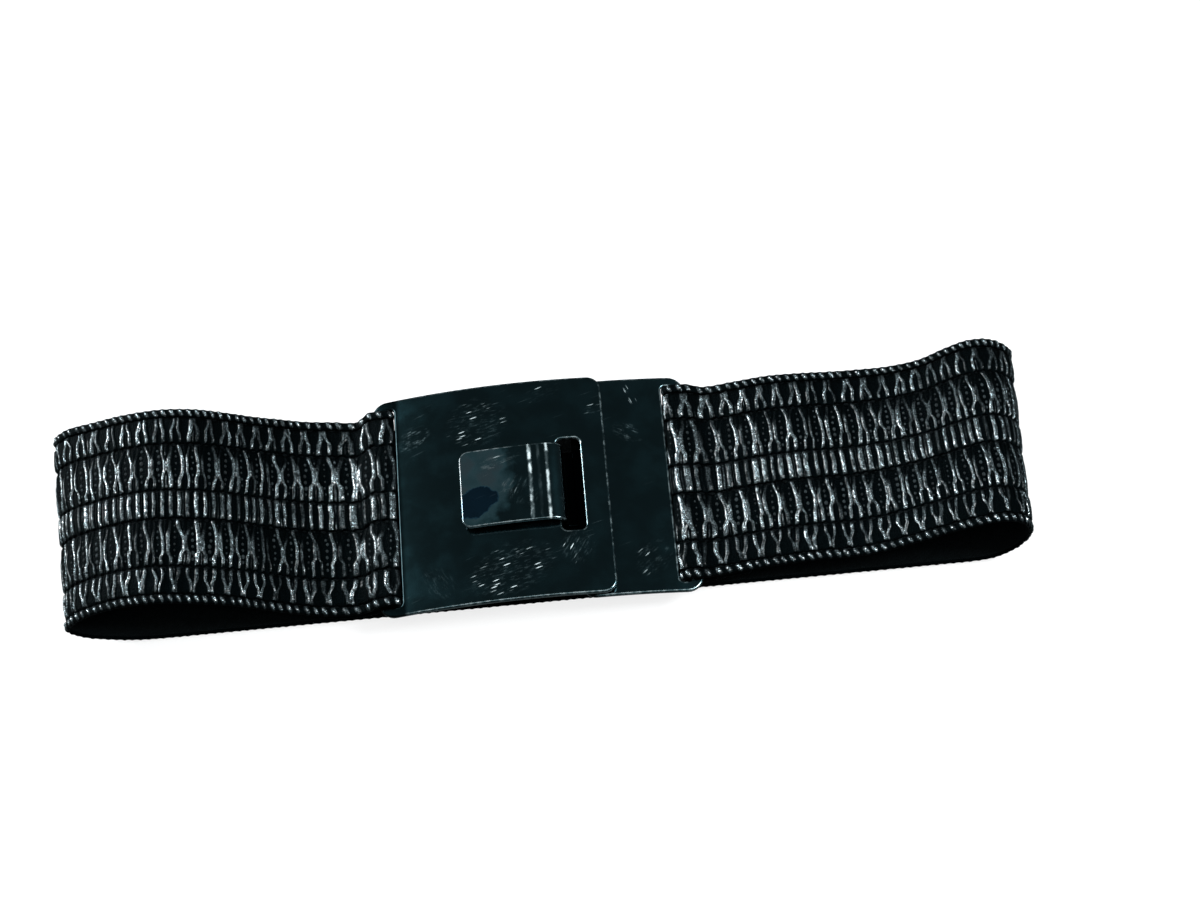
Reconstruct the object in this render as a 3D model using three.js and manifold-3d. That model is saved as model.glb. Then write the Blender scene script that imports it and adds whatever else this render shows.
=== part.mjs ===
// A wide elastic stretch belt, fastened and lying flattened on a surface, with its buckle facing up.
// Millimetres. +X runs along the belt, +Y across its width and +Z up from the surface it lies on.

import * as THREE from 'three';
import { mergeVertices } from 'three/addons/utils/BufferGeometryUtils.js';
import Module from 'manifold-3d';

const wasm = await Module();
wasm.setup();

// Strap
const STRAP_WIDTH = 75;
const STRAP_THICKNESS = 2.6; // over the crests of the ribbed rows
const SEAM_DEPTH = 0.9; // of the four lengthwise seams below those crests
const EDGE_DEPTH = 0.7; // of the looped edges below those crests
const SEAM_SLOPE = 1.3; // from a seam's bottom to the crest beside it
const INNER_SEAM = 5.5; // from the strap's middle line
const OUTER_SEAM = 23.6; // from the strap's middle line
const EDGE_BAND = 3.4; // width of each looped edge
const FOLD_BACK_LENGTH = 17; // stitched end, measured from the bar's outer edge
const LAYER_GAP = 0.4; // between the strap and its stitched end
const FIT_GAP = 0.3; // between cloth and bar

// Loops at both ends of the flattened belt
const LEFT_LOOP_LENGTH = 118; // from the front plate's outer edge
const LEFT_LOOP_HEIGHT = 38.8;
const RIGHT_LOOP_LENGTH = 122.2; // from the hook plate's outer edge
const RIGHT_LOOP_HEIGHT = 38.2;

// Buckle plates
const PLATE_THICKNESS = 2;
const ARCH_RADIUS = 220;
const BUCKLE_HEIGHT = 21.4; // from the surface to the top of the front plate's arch
const PLATE_GAP = 3; // between the plates at the top of their arches
const FRONT_PLATE_LENGTH = 86.3;
const HOOK_PLATE_LENGTH = 43.8;
const HOOK_ARCH_SHIFT = 16; // from the buckle's middle to the top of the hook plate's arch
const OUTER_CORNER = 6;
const FREE_CORNER = 5;

// Strap slots and the bars that the strap folds over
const BAR_WIDTH = 4.2;
const SLOT_CLEARANCE = 0.6; // between the folded strap and the slot's inner side
const SLOT_END_GAP = 1.7; // between the strap's edge and the slot's end
const SLOT_END_WEB = 3.7; // metal beyond the slot's end
const SLOT_CORNER = 1.5;
const SHOULDER = 1.2; // how far the strap keeps level past the bar

// Hook slot and tongue
const HOOK_SLOT_LENGTH = 8.7;
const HOOK_SLOT_INSET = 9.3; // from the front plate's free edge
const HOOK_SLOT_CORNER = 2;
const TONGUE_WIDTH = 30;
const TONGUE_SIDE_GAP = 3.2; // in the slot, on each side of the tongue
const TONGUE_THICKNESS = 1.5;
const RISER_CLEARANCE = 0.4; // between the rising part and the slot's side
const TONGUE_ROOT = 4; // from the rising part to the hook plate's inner edge
const ROOT_BEND = 1.6;
const TONGUE_REACH = 36.8; // from the rising part to the tip
const TONGUE_RISE = 4.7; // of its ridge above the front plate
const TIP_DROP = 2.2; // of the tip below the ridge
const BEND_LENGTH = 6.2; // of the rounded bend, along the belt
const BEND_DROP = 3.6; // of the rounded bend
const TIP_CORNER = 3.5;

// Fineness of the faceted surfaces
const CURVE_STEPS = 12;
const MAX_TURN_DEGREES = 16;
const MAX_STEP = 14;
const MAX_SAG = 0.1; // of a straight facet below the strap's curve
const ARCH_STEPS = 22;
const BEND_STEPS = 8;
const CORNER_STEPS = 4;

// The strap's outer face from the bar to the end of each loop, a row for each place along it.
// along: share of the loop's length; rise: share of the climb from the bar to the loop's top;
// out: the edge's distance from the middle line, as a share of half the width.
const LEFT_TOP = [
  {
    place: 'neck',
    front: { along: 0.051, rise: -0.19, out: 1.035 },
    back: { along: 0.051, rise: -0.14, out: 1.005 },
  },
  {
    place: 'dip',
    front: { along: 0.127, rise: -0.25, out: 1.02 },
    back: { along: 0.119, rise: -0.08, out: 1.01 },
  },
  { place: 'foot', front: { along: 0.203, rise: -0.16, out: 1.01 }, back: { along: 0.203, rise: 0.07 } },
  { place: 'slope', front: { along: 0.28, rise: 0.03 }, back: { along: 0.28, rise: 0.25 } },
  { place: 'slope', front: { along: 0.356, rise: 0.31 }, back: { along: 0.356, rise: 0.44 } },
  { place: 'slope', front: { along: 0.432, rise: 0.56 }, back: { along: 0.432, rise: 0.67 } },
  { place: 'slope', front: { along: 0.525, rise: 0.76 }, back: { along: 0.517, rise: 0.89 } },
  { place: 'crest', front: { along: 0.627, rise: 0.915 }, back: { along: 0.619, rise: 1 } },
  { place: 'crest', front: { along: 0.729, rise: 0.906 }, back: { along: 0.737, rise: 0.94 } },
  { place: 'fall', front: { along: 0.831, rise: 0.73 }, back: { along: 0.847, rise: 0.77 } },
  { place: 'fall', front: { along: 0.915, rise: 0.41 }, back: { along: 0.945, rise: 0.59 } },
];
const RIGHT_TOP = [
  {
    place: 'neck',
    front: { along: 0.055, rise: -0.04, out: 1.01 },
    back: { along: 0.055, rise: -0.03, out: 1.01 },
  },
  { place: 'foot', front: { along: 0.145, rise: 0.035 }, back: { along: 0.145, rise: 0.075 } },
  { place: 'swell', front: { along: 0.251, rise: 0.126 }, back: { along: 0.251, rise: 0.172 } },
  { place: 'swell', front: { along: 0.358, rise: 0.177 }, back: { along: 0.358, rise: 0.152 } },
  { place: 'hollow', front: { along: 0.448, rise: 0.165 }, back: { along: 0.448, rise: 0.104 } },
  { place: 'hollow', front: { along: 0.529, rise: 0.268 }, back: { along: 0.534, rise: 0.082 } },
  { place: 'slope', front: { along: 0.611, rise: 0.476 }, back: { along: 0.62, rise: 0.09 } },
  { place: 'slope', front: { along: 0.701, rise: 0.723 }, back: { along: 0.71, rise: 0.225 } },
  { place: 'slope', front: { along: 0.783, rise: 0.913 }, back: { along: 0.779, rise: 0.515 } },
  { place: 'crest', front: { along: 0.865, rise: 1 }, back: { along: 0.849, rise: 0.735 } },
  { place: 'crest', front: { along: 0.927, rise: 0.84 }, back: { along: 0.914, rise: 0.715 } },
];
// The loop's rounded end, down to where the strap lies flat. lift: share of the loop's height.
const LEFT_END = [
  { place: 'nose', front: { along: 0.957, lift: 0.425 }, back: { along: 0.998, lift: 0.554 } },
  { place: 'under nose', front: { along: 0.921, lift: 0.225 }, back: { along: 0.985, lift: 0.284 } },
  { place: 'under nose', front: { along: 0.847, lift: 0.1 }, back: { along: 0.915, lift: 0.1 } },
  { place: 'landing', front: { along: 0.763, lift: 0.022 }, back: { along: 0.822, lift: 0.018 } },
  { place: 'flat', front: { along: 0.678, lift: 0 }, back: { along: 0.72, lift: 0 } },
];
const RIGHT_END = [
  { place: 'nose', front: { along: 0.957, lift: 0.7 }, back: { along: 0.978, lift: 0.64 } },
  { place: 'nose', front: { along: 0.955, lift: 0.45 }, back: { along: 1, lift: 0.41 } },
  { place: 'under nose', front: { along: 0.922, lift: 0.215 }, back: { along: 0.978, lift: 0.19 } },
  { place: 'landing', front: { along: 0.868, lift: 0.05 }, back: { along: 0.918, lift: 0.05 } },
  { place: 'flat', front: { along: 0.79, lift: 0 }, back: { along: 0.83, lift: 0 } },
];
const FLAT_SPANS = 8;

// Strap edges over the bars and in the slots, as shares of half the width
const LEFT_BAR_EDGE = { front: 1.035, back: 1.03 };
const RIGHT_BAR_EDGE = { front: 1.015, back: 1.03 };

// Sizes that follow from those above
const slotWidth = PLATE_THICKNESS / 2 + FIT_GAP + STRAP_THICKNESS + SLOT_CLEARANCE;
const slotHalf = STRAP_WIDTH / 2 + SLOT_END_GAP;
const plateHalf = slotHalf + SLOT_END_WEB;
const hookSlotHalf = TONGUE_WIDTH / 2 + TONGUE_SIDE_GAP;
const slotToRiser = RISER_CLEARANCE + TONGUE_THICKNESS / 2;
const buckleLength = FRONT_PLATE_LENGTH - HOOK_SLOT_INSET - HOOK_SLOT_LENGTH
  + slotToRiser + TONGUE_ROOT + HOOK_PLATE_LENGTH;
const beltLength = LEFT_LOOP_LENGTH + buckleLength + RIGHT_LOOP_LENGTH;

// Places along X, with the belt's ends equally far from the origin
const frontOuter = LEFT_LOOP_LENGTH - beltLength / 2;
const frontFree = frontOuter + FRONT_PLATE_LENGTH;
const hookSlotRight = frontFree - HOOK_SLOT_INSET;
const hookSlotLeft = hookSlotRight - HOOK_SLOT_LENGTH;
const riserX = hookSlotLeft + slotToRiser;
const hookInner = riserX + TONGUE_ROOT;
const hookOuter = hookInner + HOOK_PLATE_LENGTH;
const buckleMiddle = (frontOuter + hookOuter) / 2;

const frontArch = { x: buckleMiddle, z: BUCKLE_HEIGHT, outer: frontOuter, side: -1 };
const hookArch = {
  x: buckleMiddle + HOOK_ARCH_SHIFT,
  z: BUCKLE_HEIGHT - PLATE_THICKNESS - PLATE_GAP,
  outer: hookOuter,
  side: 1,
};

// A point at a height above a plate's arched top face
function archPoint(arch, x, above) {
  const turn = Math.asin((x - arch.x) / ARCH_RADIUS);
  const reach = ARCH_RADIUS + above;
  return { x: arch.x + reach * Math.sin(turn), z: arch.z - ARCH_RADIUS + reach * Math.cos(turn) };
}

// The strap's outer face over a bar: along runs outward from the bar's slot side
function barPoint(arch, along, above) {
  return archPoint(arch, arch.outer - arch.side * (BAR_WIDTH - along), above);
}

// The half circle that the strap makes in the slot, from the top of the bar to below it
function wrapPoints(arch) {
  const centre = barPoint(arch, 0, -PLATE_THICKNESS / 2);
  const top = barPoint(arch, 0, 0);
  const half = PLATE_THICKNESS / 2;
  const up = { x: (top.x - centre.x) / half, z: (top.z - centre.z) / half };
  const inward = { x: -arch.side * up.z, z: arch.side * up.x };
  const radius = half + FIT_GAP + STRAP_THICKNESS;
  const points = [];
  for (const degrees of [90, 54, 18, -18, -54, -90]) {
    const turn = THREE.MathUtils.degToRad(degrees);
    points.push({
      x: centre.x + radius * (Math.cos(turn) * inward.x + Math.sin(turn) * up.x),
      z: centre.z + radius * (Math.cos(turn) * inward.z + Math.sin(turn) * up.z),
    });
  }
  return points;
}

const edgeSign = { front: -1, back: 1 };

function strapPoint(edge, out, point) {
  return new THREE.Vector3(point.x, edgeSign[edge] * out * STRAP_WIDTH / 2, point.z);
}

// The strap's unit normal, in the XZ plane, on the outer face of a curve that leaves the bar
function upNormal(curve, at, side) {
  const tangent = curve.getTangent(at);
  const size = Math.hypot(tangent.x, tangent.z);
  return { x: -side * tangent.z / size, z: side * tangent.x / size };
}

// The place on a curve at a distance along X from the bar's outer edge
function placeAt(curve, distance, outer) {
  let low = 0;
  let high = 1;
  while (high - low > 1e-6) {
    const middle = (low + high) / 2;
    if (Math.abs(curve.getPoint(middle).x - outer) < distance) low = middle;
    else high = middle;
  }
  return low;
}

// One edge of the strap's outer face from its stitched end, round the bar and out to the flat part
function sidePoints(loop, edge) {
  const { arch, topRows, endRows, barEdge, length, height } = loop;
  const cover = FIT_GAP + STRAP_THICKNESS;
  const shoulder = barPoint(arch, BAR_WIDTH + SHOULDER, cover);
  const place = (row, z) => {
    const x = arch.outer + arch.side * row.along * length;
    return strapPoint(edge, row.out ?? 1, { x, z });
  };
  const wrap = wrapPoints(arch).map((point) => strapPoint(edge, barEdge[edge], point));
  const top = [strapPoint(edge, barEdge[edge], shoulder)];
  for (const row of topRows) {
    top.push(place(row[edge], shoulder.z + row[edge].rise * (height - shoulder.z)));
  }
  for (const row of endRows) {
    top.push(place(row[edge], row[edge].lift * height));
  }
  const topCurve = new THREE.CatmullRomCurve3(top.slice(0, 5), false, 'centripetal');
  const drop = 2 * STRAP_THICKNESS + LAYER_GAP;
  const stitched = [];
  for (const share of [1, 0.8, 0.6, 0.4]) {
    const at = placeAt(topCurve, share * FOLD_BACK_LENGTH, arch.outer);
    const point = topCurve.getPoint(at);
    const normal = upNormal(topCurve, at, arch.side);
    stitched.push(new THREE.Vector3(point.x - drop * normal.x, point.y, point.z - drop * normal.z));
  }
  const below = strapPoint(edge, barEdge[edge], barPoint(arch, BAR_WIDTH, -PLATE_THICKNESS - cover));
  return [...stitched, below, ...wrap.reverse(), ...top];
}

const leftLoop = {
  arch: frontArch,
  topRows: LEFT_TOP,
  endRows: LEFT_END,
  barEdge: LEFT_BAR_EDGE,
  length: LEFT_LOOP_LENGTH,
  height: LEFT_LOOP_HEIGHT,
};
const rightLoop = {
  arch: hookArch,
  topRows: RIGHT_TOP,
  endRows: RIGHT_END,
  barEdge: RIGHT_BAR_EDGE,
  length: RIGHT_LOOP_LENGTH,
  height: RIGHT_LOOP_HEIGHT,
};

// One edge of the strap's outer face from end to end
function edgeCurve(edge) {
  const left = sidePoints(leftLoop, edge);
  const right = sidePoints(rightLoop, edge);
  const start = left.at(-1);
  const end = right.at(-1);
  const flat = [];
  for (let i = 1; i < FLAT_SPANS; i += 1) {
    flat.push(start.clone().lerp(end, i / FLAT_SPANS));
  }
  const points = [...left, ...flat, ...right.reverse()];
  const steps = (points.length - 1) * CURVE_STEPS;
  const samples = new THREE.CatmullRomCurve3(points, false, 'centripetal').getPoints(steps);
  for (const sample of samples) {
    sample.z = Math.max(sample.z, 0);
  }
  return samples;
}

// Places across the strap's outer face, from the front edge (-1) to the back edge (1), and their depths
function outerSection() {
  const half = STRAP_WIDTH / 2;
  const seams = [-OUTER_SEAM, -INNER_SEAM, INNER_SEAM, OUTER_SEAM];
  const band = half - EDGE_BAND;
  const points = [[-half, EDGE_DEPTH + SEAM_DEPTH / 2], [-half + EDGE_BAND / 2, EDGE_DEPTH], [-band, SEAM_DEPTH]];
  points.push([-band + SEAM_SLOPE, 0]);
  for (const seam of seams) {
    points.push([seam - SEAM_SLOPE, 0], [seam, SEAM_DEPTH], [seam + SEAM_SLOPE, 0]);
  }
  points.push([band - SEAM_SLOPE, 0]);
  points.push([band, SEAM_DEPTH], [half - EDGE_BAND / 2, EDGE_DEPTH], [half, EDGE_DEPTH + SEAM_DEPTH / 2]);
  return points.map(([y, depth]) => ({ across: (1 + y / half) / 2, depth }));
}

// Sample numbers close enough together for the curve's turns
function stationNumbers(front, back) {
  const middle = front.map((point, i) => point.clone().lerp(back[i], 0.5));
  const maxTurn = THREE.MathUtils.degToRad(MAX_TURN_DEGREES);
  const numbers = [0];
  let turn = 0;
  let length = 0;
  for (let i = 1; i < middle.length - 1; i += 1) {
    const before = middle[i].clone().sub(middle[i - 1]);
    const after = middle[i + 1].clone().sub(middle[i]);
    turn += before.angleTo(after);
    length += before.length();
    const sag = length * turn / 8;
    if (turn > maxTurn || length > MAX_STEP || sag > MAX_SAG) {
      numbers.push(i);
      turn = 0;
      length = 0;
    }
  }
  numbers.push(middle.length - 1);
  return numbers;
}

// The strap: its section carried along its two edge curves
function strapGeometry() {
  const front = edgeCurve('front');
  const back = edgeCurve('back');
  const outer = outerSection();
  const inner = [1, 0.5, 0].map((across) => ({ across, depth: STRAP_THICKNESS }));
  const section = [...outer, ...inner];
  const stations = stationNumbers(front, back);
  const positions = [];
  for (const i of stations) {
    const previous = Math.max(i - 1, 0);
    const next = Math.min(i + 1, front.length - 1);
    for (const { across, depth } of section) {
      const point = front[i].clone().lerp(back[i], across);
      const from = front[previous].clone().lerp(back[previous], across);
      const to = front[next].clone().lerp(back[next], across);
      const size = Math.hypot(to.x - from.x, to.z - from.z);
      const normal = { x: (to.z - from.z) / size, z: (from.x - to.x) / size };
      positions.push(point.x - depth * normal.x, point.y, point.z - depth * normal.z);
    }
  }
  const count = section.length;
  const index = [];
  for (let s = 0; s < stations.length - 1; s += 1) {
    for (let k = 0; k < count; k += 1) {
      const a = s * count + k;
      const b = s * count + (k + 1) % count;
      index.push(a, b, a + count, b, b + count, a + count);
    }
  }
  const outline = section.map(({ across, depth }) => new THREE.Vector2(across * STRAP_WIDTH, depth));
  const last = (stations.length - 1) * count;
  for (const [a, b, c] of THREE.ShapeUtils.triangulateShape(outline, [])) {
    index.push(a, c, b, last + a, last + b, last + c);
  }
  const geometry = new THREE.BufferGeometry();
  geometry.setAttribute('position', new THREE.Float32BufferAttribute(positions, 3));
  geometry.setIndex(index);
  return geometry;
}

// Rectangle whose left and right corners have their own radii
function roundedRectangle(left, right, half, leftRadius, rightRadius, Path = THREE.Shape) {
  const path = new Path();
  path.moveTo(left + leftRadius, -half);
  path.lineTo(right - rightRadius, -half);
  path.absarc(right - rightRadius, -half + rightRadius, rightRadius, -Math.PI / 2, 0);
  path.absarc(right - rightRadius, half - rightRadius, rightRadius, 0, Math.PI / 2);
  path.absarc(left + leftRadius, half - leftRadius, leftRadius, Math.PI / 2, Math.PI);
  path.absarc(left + leftRadius, -half + leftRadius, leftRadius, Math.PI, 3 * Math.PI / 2);
  path.closePath();
  return path;
}

function solid(geometry) {
  geometry.deleteAttribute('normal');
  geometry.deleteAttribute('uv');
  const merged = mergeVertices(geometry, 1e-4);
  return new wasm.Manifold(new wasm.Mesh({
    numProp: 3,
    vertProperties: new Float32Array(merged.attributes.position.array),
    triVerts: new Uint32Array(merged.index.array),
  }));
}

function meshGeometry(manifold) {
  const { vertProperties, triVerts } = manifold.getMesh();
  const geometry = new THREE.BufferGeometry();
  geometry.setAttribute('position', new THREE.BufferAttribute(new Float32Array(vertProperties), 3));
  geometry.setIndex(new THREE.BufferAttribute(new Uint32Array(triVerts), 1));
  return geometry;
}

// A profile in the XZ plane carried across the belt
function acrossBelt(profile, half) {
  const shape = new THREE.Shape(profile.map(({ x, z }) => new THREE.Vector2(x, z)));
  const geometry = new THREE.ExtrudeGeometry(shape, { depth: 2 * half, bevelEnabled: false });
  geometry.rotateX(Math.PI / 2);
  geometry.translate(0, half, 0);
  return solid(geometry);
}

// An outline in the XY plane carried up past everything in the buckle
function upward(outline) {
  const depth = BUCKLE_HEIGHT + 2 * TONGUE_RISE;
  const options = { depth, bevelEnabled: false, curveSegments: CORNER_STEPS };
  return solid(new THREE.ExtrudeGeometry(outline, options));
}

// An arched plate between two places along X, cut to an outline
function archedPlate(arch, left, right, outline) {
  const top = [];
  const bottom = [];
  for (let i = 0; i <= ARCH_STEPS; i += 1) {
    const x = left + (right - left) * i / ARCH_STEPS;
    top.push(archPoint(arch, x, 0));
    bottom.unshift(archPoint(arch, x, -PLATE_THICKNESS));
  }
  const extend = (point, side) => ({ x: point.x + side * PLATE_THICKNESS, z: point.z });
  const band = [
    extend(top[0], -1), ...top, extend(top.at(-1), 1),
    extend(bottom[0], 1), ...bottom, extend(bottom.at(-1), -1),
  ];
  return acrossBelt(band, plateHalf + PLATE_THICKNESS).intersect(upward(outline));
}

function strapSlot(arch) {
  const near = arch.outer - arch.side * BAR_WIDTH;
  const far = near - arch.side * slotWidth;
  const [left, right] = [Math.min(near, far), Math.max(near, far)];
  return roundedRectangle(left, right, slotHalf, SLOT_CORNER, SLOT_CORNER, THREE.Path);
}

function frontPlateGeometry() {
  const outline = roundedRectangle(frontOuter, frontFree, plateHalf, OUTER_CORNER, FREE_CORNER);
  outline.holes.push(strapSlot(frontArch));
  outline.holes.push(roundedRectangle(
    hookSlotLeft, hookSlotRight, hookSlotHalf, HOOK_SLOT_CORNER, HOOK_SLOT_CORNER, THREE.Path,
  ));
  return meshGeometry(archedPlate(frontArch, frontOuter, frontFree, outline));
}

// The tongue's middle line, from inside the hook plate's edge to its tip
function tongueLine() {
  const rootZ = archPoint(hookArch, hookInner, 0).z - PLATE_THICKNESS / 2;
  const ridgeZ = BUCKLE_HEIGHT + TONGUE_RISE - TONGUE_THICKNESS / 2;
  const line = [{ x: hookInner + PLATE_THICKNESS, z: rootZ }];
  for (let i = 0; i <= BEND_STEPS / 2; i += 1) {
    const turn = Math.PI / 2 * i / (BEND_STEPS / 2);
    line.push({
      x: riserX + ROOT_BEND * (1 - Math.sin(turn)),
      z: rootZ + ROOT_BEND * (1 - Math.cos(turn)),
    });
  }
  for (let i = 0; i <= BEND_STEPS; i += 1) {
    const turn = Math.PI / 2 * i / BEND_STEPS;
    line.push({
      x: riserX - BEND_LENGTH * (1 - Math.cos(turn)),
      z: ridgeZ - BEND_DROP * (1 - Math.sin(turn)),
    });
  }
  const flatLength = TONGUE_REACH - BEND_LENGTH;
  for (let i = 1; i <= BEND_STEPS; i += 1) {
    const share = i / BEND_STEPS;
    line.push({ x: riserX - BEND_LENGTH - flatLength * share, z: ridgeZ - TIP_DROP * share ** 2 });
  }
  return line;
}

// The tongue: its middle line thickened to both sides
function tongueProfile() {
  const line = tongueLine();
  const half = TONGUE_THICKNESS / 2;
  const above = [];
  const below = [];
  line.forEach((point, i) => {
    const from = line[Math.max(i - 1, 0)];
    const to = line[Math.min(i + 1, line.length - 1)];
    const size = Math.hypot(to.x - from.x, to.z - from.z);
    const normal = { x: (to.z - from.z) / size, z: (from.x - to.x) / size };
    above.push({ x: point.x + half * normal.x, z: point.z + half * normal.z });
    below.unshift({ x: point.x - half * normal.x, z: point.z - half * normal.z });
  });
  return [...above, ...below];
}

function hookPlateGeometry() {
  const outline = roundedRectangle(hookInner, hookOuter, plateHalf, FREE_CORNER, OUTER_CORNER);
  outline.holes.push(strapSlot(hookArch));
  const plate = archedPlate(hookArch, hookInner, hookOuter, outline);
  const tongueOutline = roundedRectangle(
    riserX - TONGUE_REACH, hookInner + PLATE_THICKNESS, TONGUE_WIDTH / 2, TIP_CORNER, ROOT_BEND / 2,
  );
  const tongue = acrossBelt(tongueProfile(), TONGUE_WIDTH).intersect(upward(tongueOutline));
  return meshGeometry(plate.add(tongue));
}

const elastic = new THREE.MeshStandardMaterial({ color: 0x0c0e11, roughness: 0.4, metalness: 0 });
const frontMetal = new THREE.MeshStandardMaterial({ color: 0x10191e, roughness: 0.2, metalness: 0.9 });
const hookMetal = new THREE.MeshStandardMaterial({ color: 0x11181f, roughness: 0.22, metalness: 0.9 });

function piece(name, geometry, material) {
  const mesh = new THREE.Mesh(geometry, material);
  mesh.name = name;
  return mesh;
}

const belt = new THREE.Group();
belt.add(piece('elastic_strap', strapGeometry(), elastic));
belt.add(piece('front_plate', frontPlateGeometry(), frontMetal));
belt.add(piece('hook_plate', hookPlateGeometry(), hookMetal));

export default belt;
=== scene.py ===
"""Elastic stretch belt with a metal hook buckle, dressed round its solid model.

Shapes are worked out in millimetres and put into the meshes in metres. +X runs along the belt,
+Y across its width from the near edge to the far edge, and +Z up from the surface it lies on.
"""

import math

import bmesh
import bpy
import numpy as np
from bpy.props import FloatProperty, FloatVectorProperty, IntProperty, PointerProperty
from mathutils import Matrix, Vector


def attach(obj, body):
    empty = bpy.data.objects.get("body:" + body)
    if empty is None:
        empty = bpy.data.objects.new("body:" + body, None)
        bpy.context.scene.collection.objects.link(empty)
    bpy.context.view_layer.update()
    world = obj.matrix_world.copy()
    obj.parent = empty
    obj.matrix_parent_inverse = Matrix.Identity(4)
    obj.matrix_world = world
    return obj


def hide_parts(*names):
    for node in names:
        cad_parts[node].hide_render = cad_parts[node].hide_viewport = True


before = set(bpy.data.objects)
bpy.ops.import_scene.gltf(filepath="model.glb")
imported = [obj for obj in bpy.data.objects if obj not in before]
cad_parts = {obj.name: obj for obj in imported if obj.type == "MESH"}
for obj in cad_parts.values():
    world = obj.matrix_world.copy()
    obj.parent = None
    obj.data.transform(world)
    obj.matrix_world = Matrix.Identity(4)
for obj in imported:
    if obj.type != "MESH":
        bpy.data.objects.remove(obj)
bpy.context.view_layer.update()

bl_info = {
    "name": "Elastic stretch belt",
    "version": (1, 0, 0),
    "blender": (4, 5, 0),
    "location": "3D View > Sidebar > Belt",
    "description": "A ribbed elastic belt with a two-plate metal hook buckle",
    "category": "Add Mesh",
}

MM = 0.001

# Sizes of the solid model, in millimetres
FOLD_BACK_LENGTH = 17.0  # stitched end, measured from the bar's outer edge
LAYER_GAP = 0.4  # between the strap and its stitched end
FIT_GAP = 0.3  # between cloth and bar
LEFT_LOOP_LENGTH = 118.0  # from the front plate's outer edge
LEFT_LOOP_HEIGHT = 38.8
RIGHT_LOOP_LENGTH = 122.2  # from the hook plate's outer edge
RIGHT_LOOP_HEIGHT = 38.2
ARCH_RADIUS = 220.0
BUCKLE_HEIGHT = 21.4
PLATE_GAP = 3.0
FRONT_PLATE_LENGTH = 86.3
HOOK_PLATE_LENGTH = 43.8
HOOK_ARCH_SHIFT = 16.0
OUTER_CORNER = 6.0
FREE_CORNER = 5.0
BAR_WIDTH = 4.2
SLOT_CLEARANCE = 0.6
SLOT_END_GAP = 1.7
SLOT_END_WEB = 3.7
SLOT_CORNER = 1.5
SHOULDER = 1.2
HOOK_SLOT_LENGTH = 8.7
HOOK_SLOT_INSET = 9.3
HOOK_SLOT_CORNER = 2.0
TONGUE_WIDTH = 30.0
TONGUE_SIDE_GAP = 3.2
TONGUE_THICKNESS = 1.5
RISER_CLEARANCE = 0.4
TONGUE_ROOT = 4.0
ROOT_BEND = 1.6
TONGUE_REACH = 36.8
TONGUE_RISE = 4.7
TIP_DROP = 2.2
BEND_LENGTH = 6.2
BEND_DROP = 3.6
TIP_CORNER = 3.5

# The strap's outer face from the bar to the end of each loop, a row for each place along it.
# Columns, for the near edge and then for the far edge: share of the loop's length, share of the
# climb from the bar to the loop's top, distance from the middle line as a share of half the width.
LEFT_TOP = [
    ((0.051, -0.19, 1.035), (0.051, -0.14, 1.005)),
    ((0.127, -0.25, 1.02), (0.119, -0.08, 1.01)),
    ((0.203, -0.16, 1.01), (0.203, 0.07, 1)),
    ((0.28, 0.03, 1), (0.28, 0.25, 1)),
    ((0.356, 0.31, 1), (0.356, 0.44, 1)),
    ((0.432, 0.56, 1), (0.432, 0.67, 1)),
    ((0.525, 0.76, 1), (0.517, 0.89, 1)),
    ((0.627, 0.915, 1), (0.619, 1, 1)),
    ((0.729, 0.906, 1), (0.737, 0.94, 1)),
    ((0.831, 0.73, 1), (0.847, 0.77, 1)),
    ((0.915, 0.41, 1), (0.945, 0.59, 1)),
]
RIGHT_TOP = [
    ((0.055, -0.04, 1.01), (0.055, -0.03, 1.01)),
    ((0.145, 0.035, 1), (0.145, 0.075, 1)),
    ((0.251, 0.126, 1), (0.251, 0.172, 1)),
    ((0.358, 0.177, 1), (0.358, 0.152, 1)),
    ((0.448, 0.165, 1), (0.448, 0.104, 1)),
    ((0.529, 0.268, 1), (0.534, 0.082, 1)),
    ((0.611, 0.476, 1), (0.62, 0.09, 1)),
    ((0.701, 0.723, 1), (0.71, 0.225, 1)),
    ((0.783, 0.913, 1), (0.779, 0.515, 1)),
    ((0.865, 1, 1), (0.849, 0.735, 1)),
    ((0.927, 0.84, 1), (0.914, 0.715, 1)),
]
# The loop's rounded end, down to where the strap lies flat.
# Columns, for the near edge and then for the far edge: share of the length, share of the height.
LEFT_END = [
    ((0.957, 0.425), (0.998, 0.554)),
    ((0.921, 0.225), (0.985, 0.284)),
    ((0.847, 0.1), (0.915, 0.1)),
    ((0.763, 0.022), (0.822, 0.018)),
    ((0.678, 0), (0.72, 0)),
]
RIGHT_END = [
    ((0.957, 0.7), (0.978, 0.64)),
    ((0.955, 0.45), (1, 0.41)),
    ((0.922, 0.215), (0.978, 0.19)),
    ((0.868, 0.05), (0.918, 0.05)),
    ((0.79, 0), (0.83, 0)),
]
LEFT_BAR_EDGE = (1.04, 1.043)
RIGHT_BAR_EDGE = (1.03, 1.043)
WRAP_DEGREES = (90, 54, 18, -18, -54, -90)
FOLD_BACK_SHARES = (1, 0.8, 0.6, 0.4)
FLAT_SPANS = 8

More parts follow.
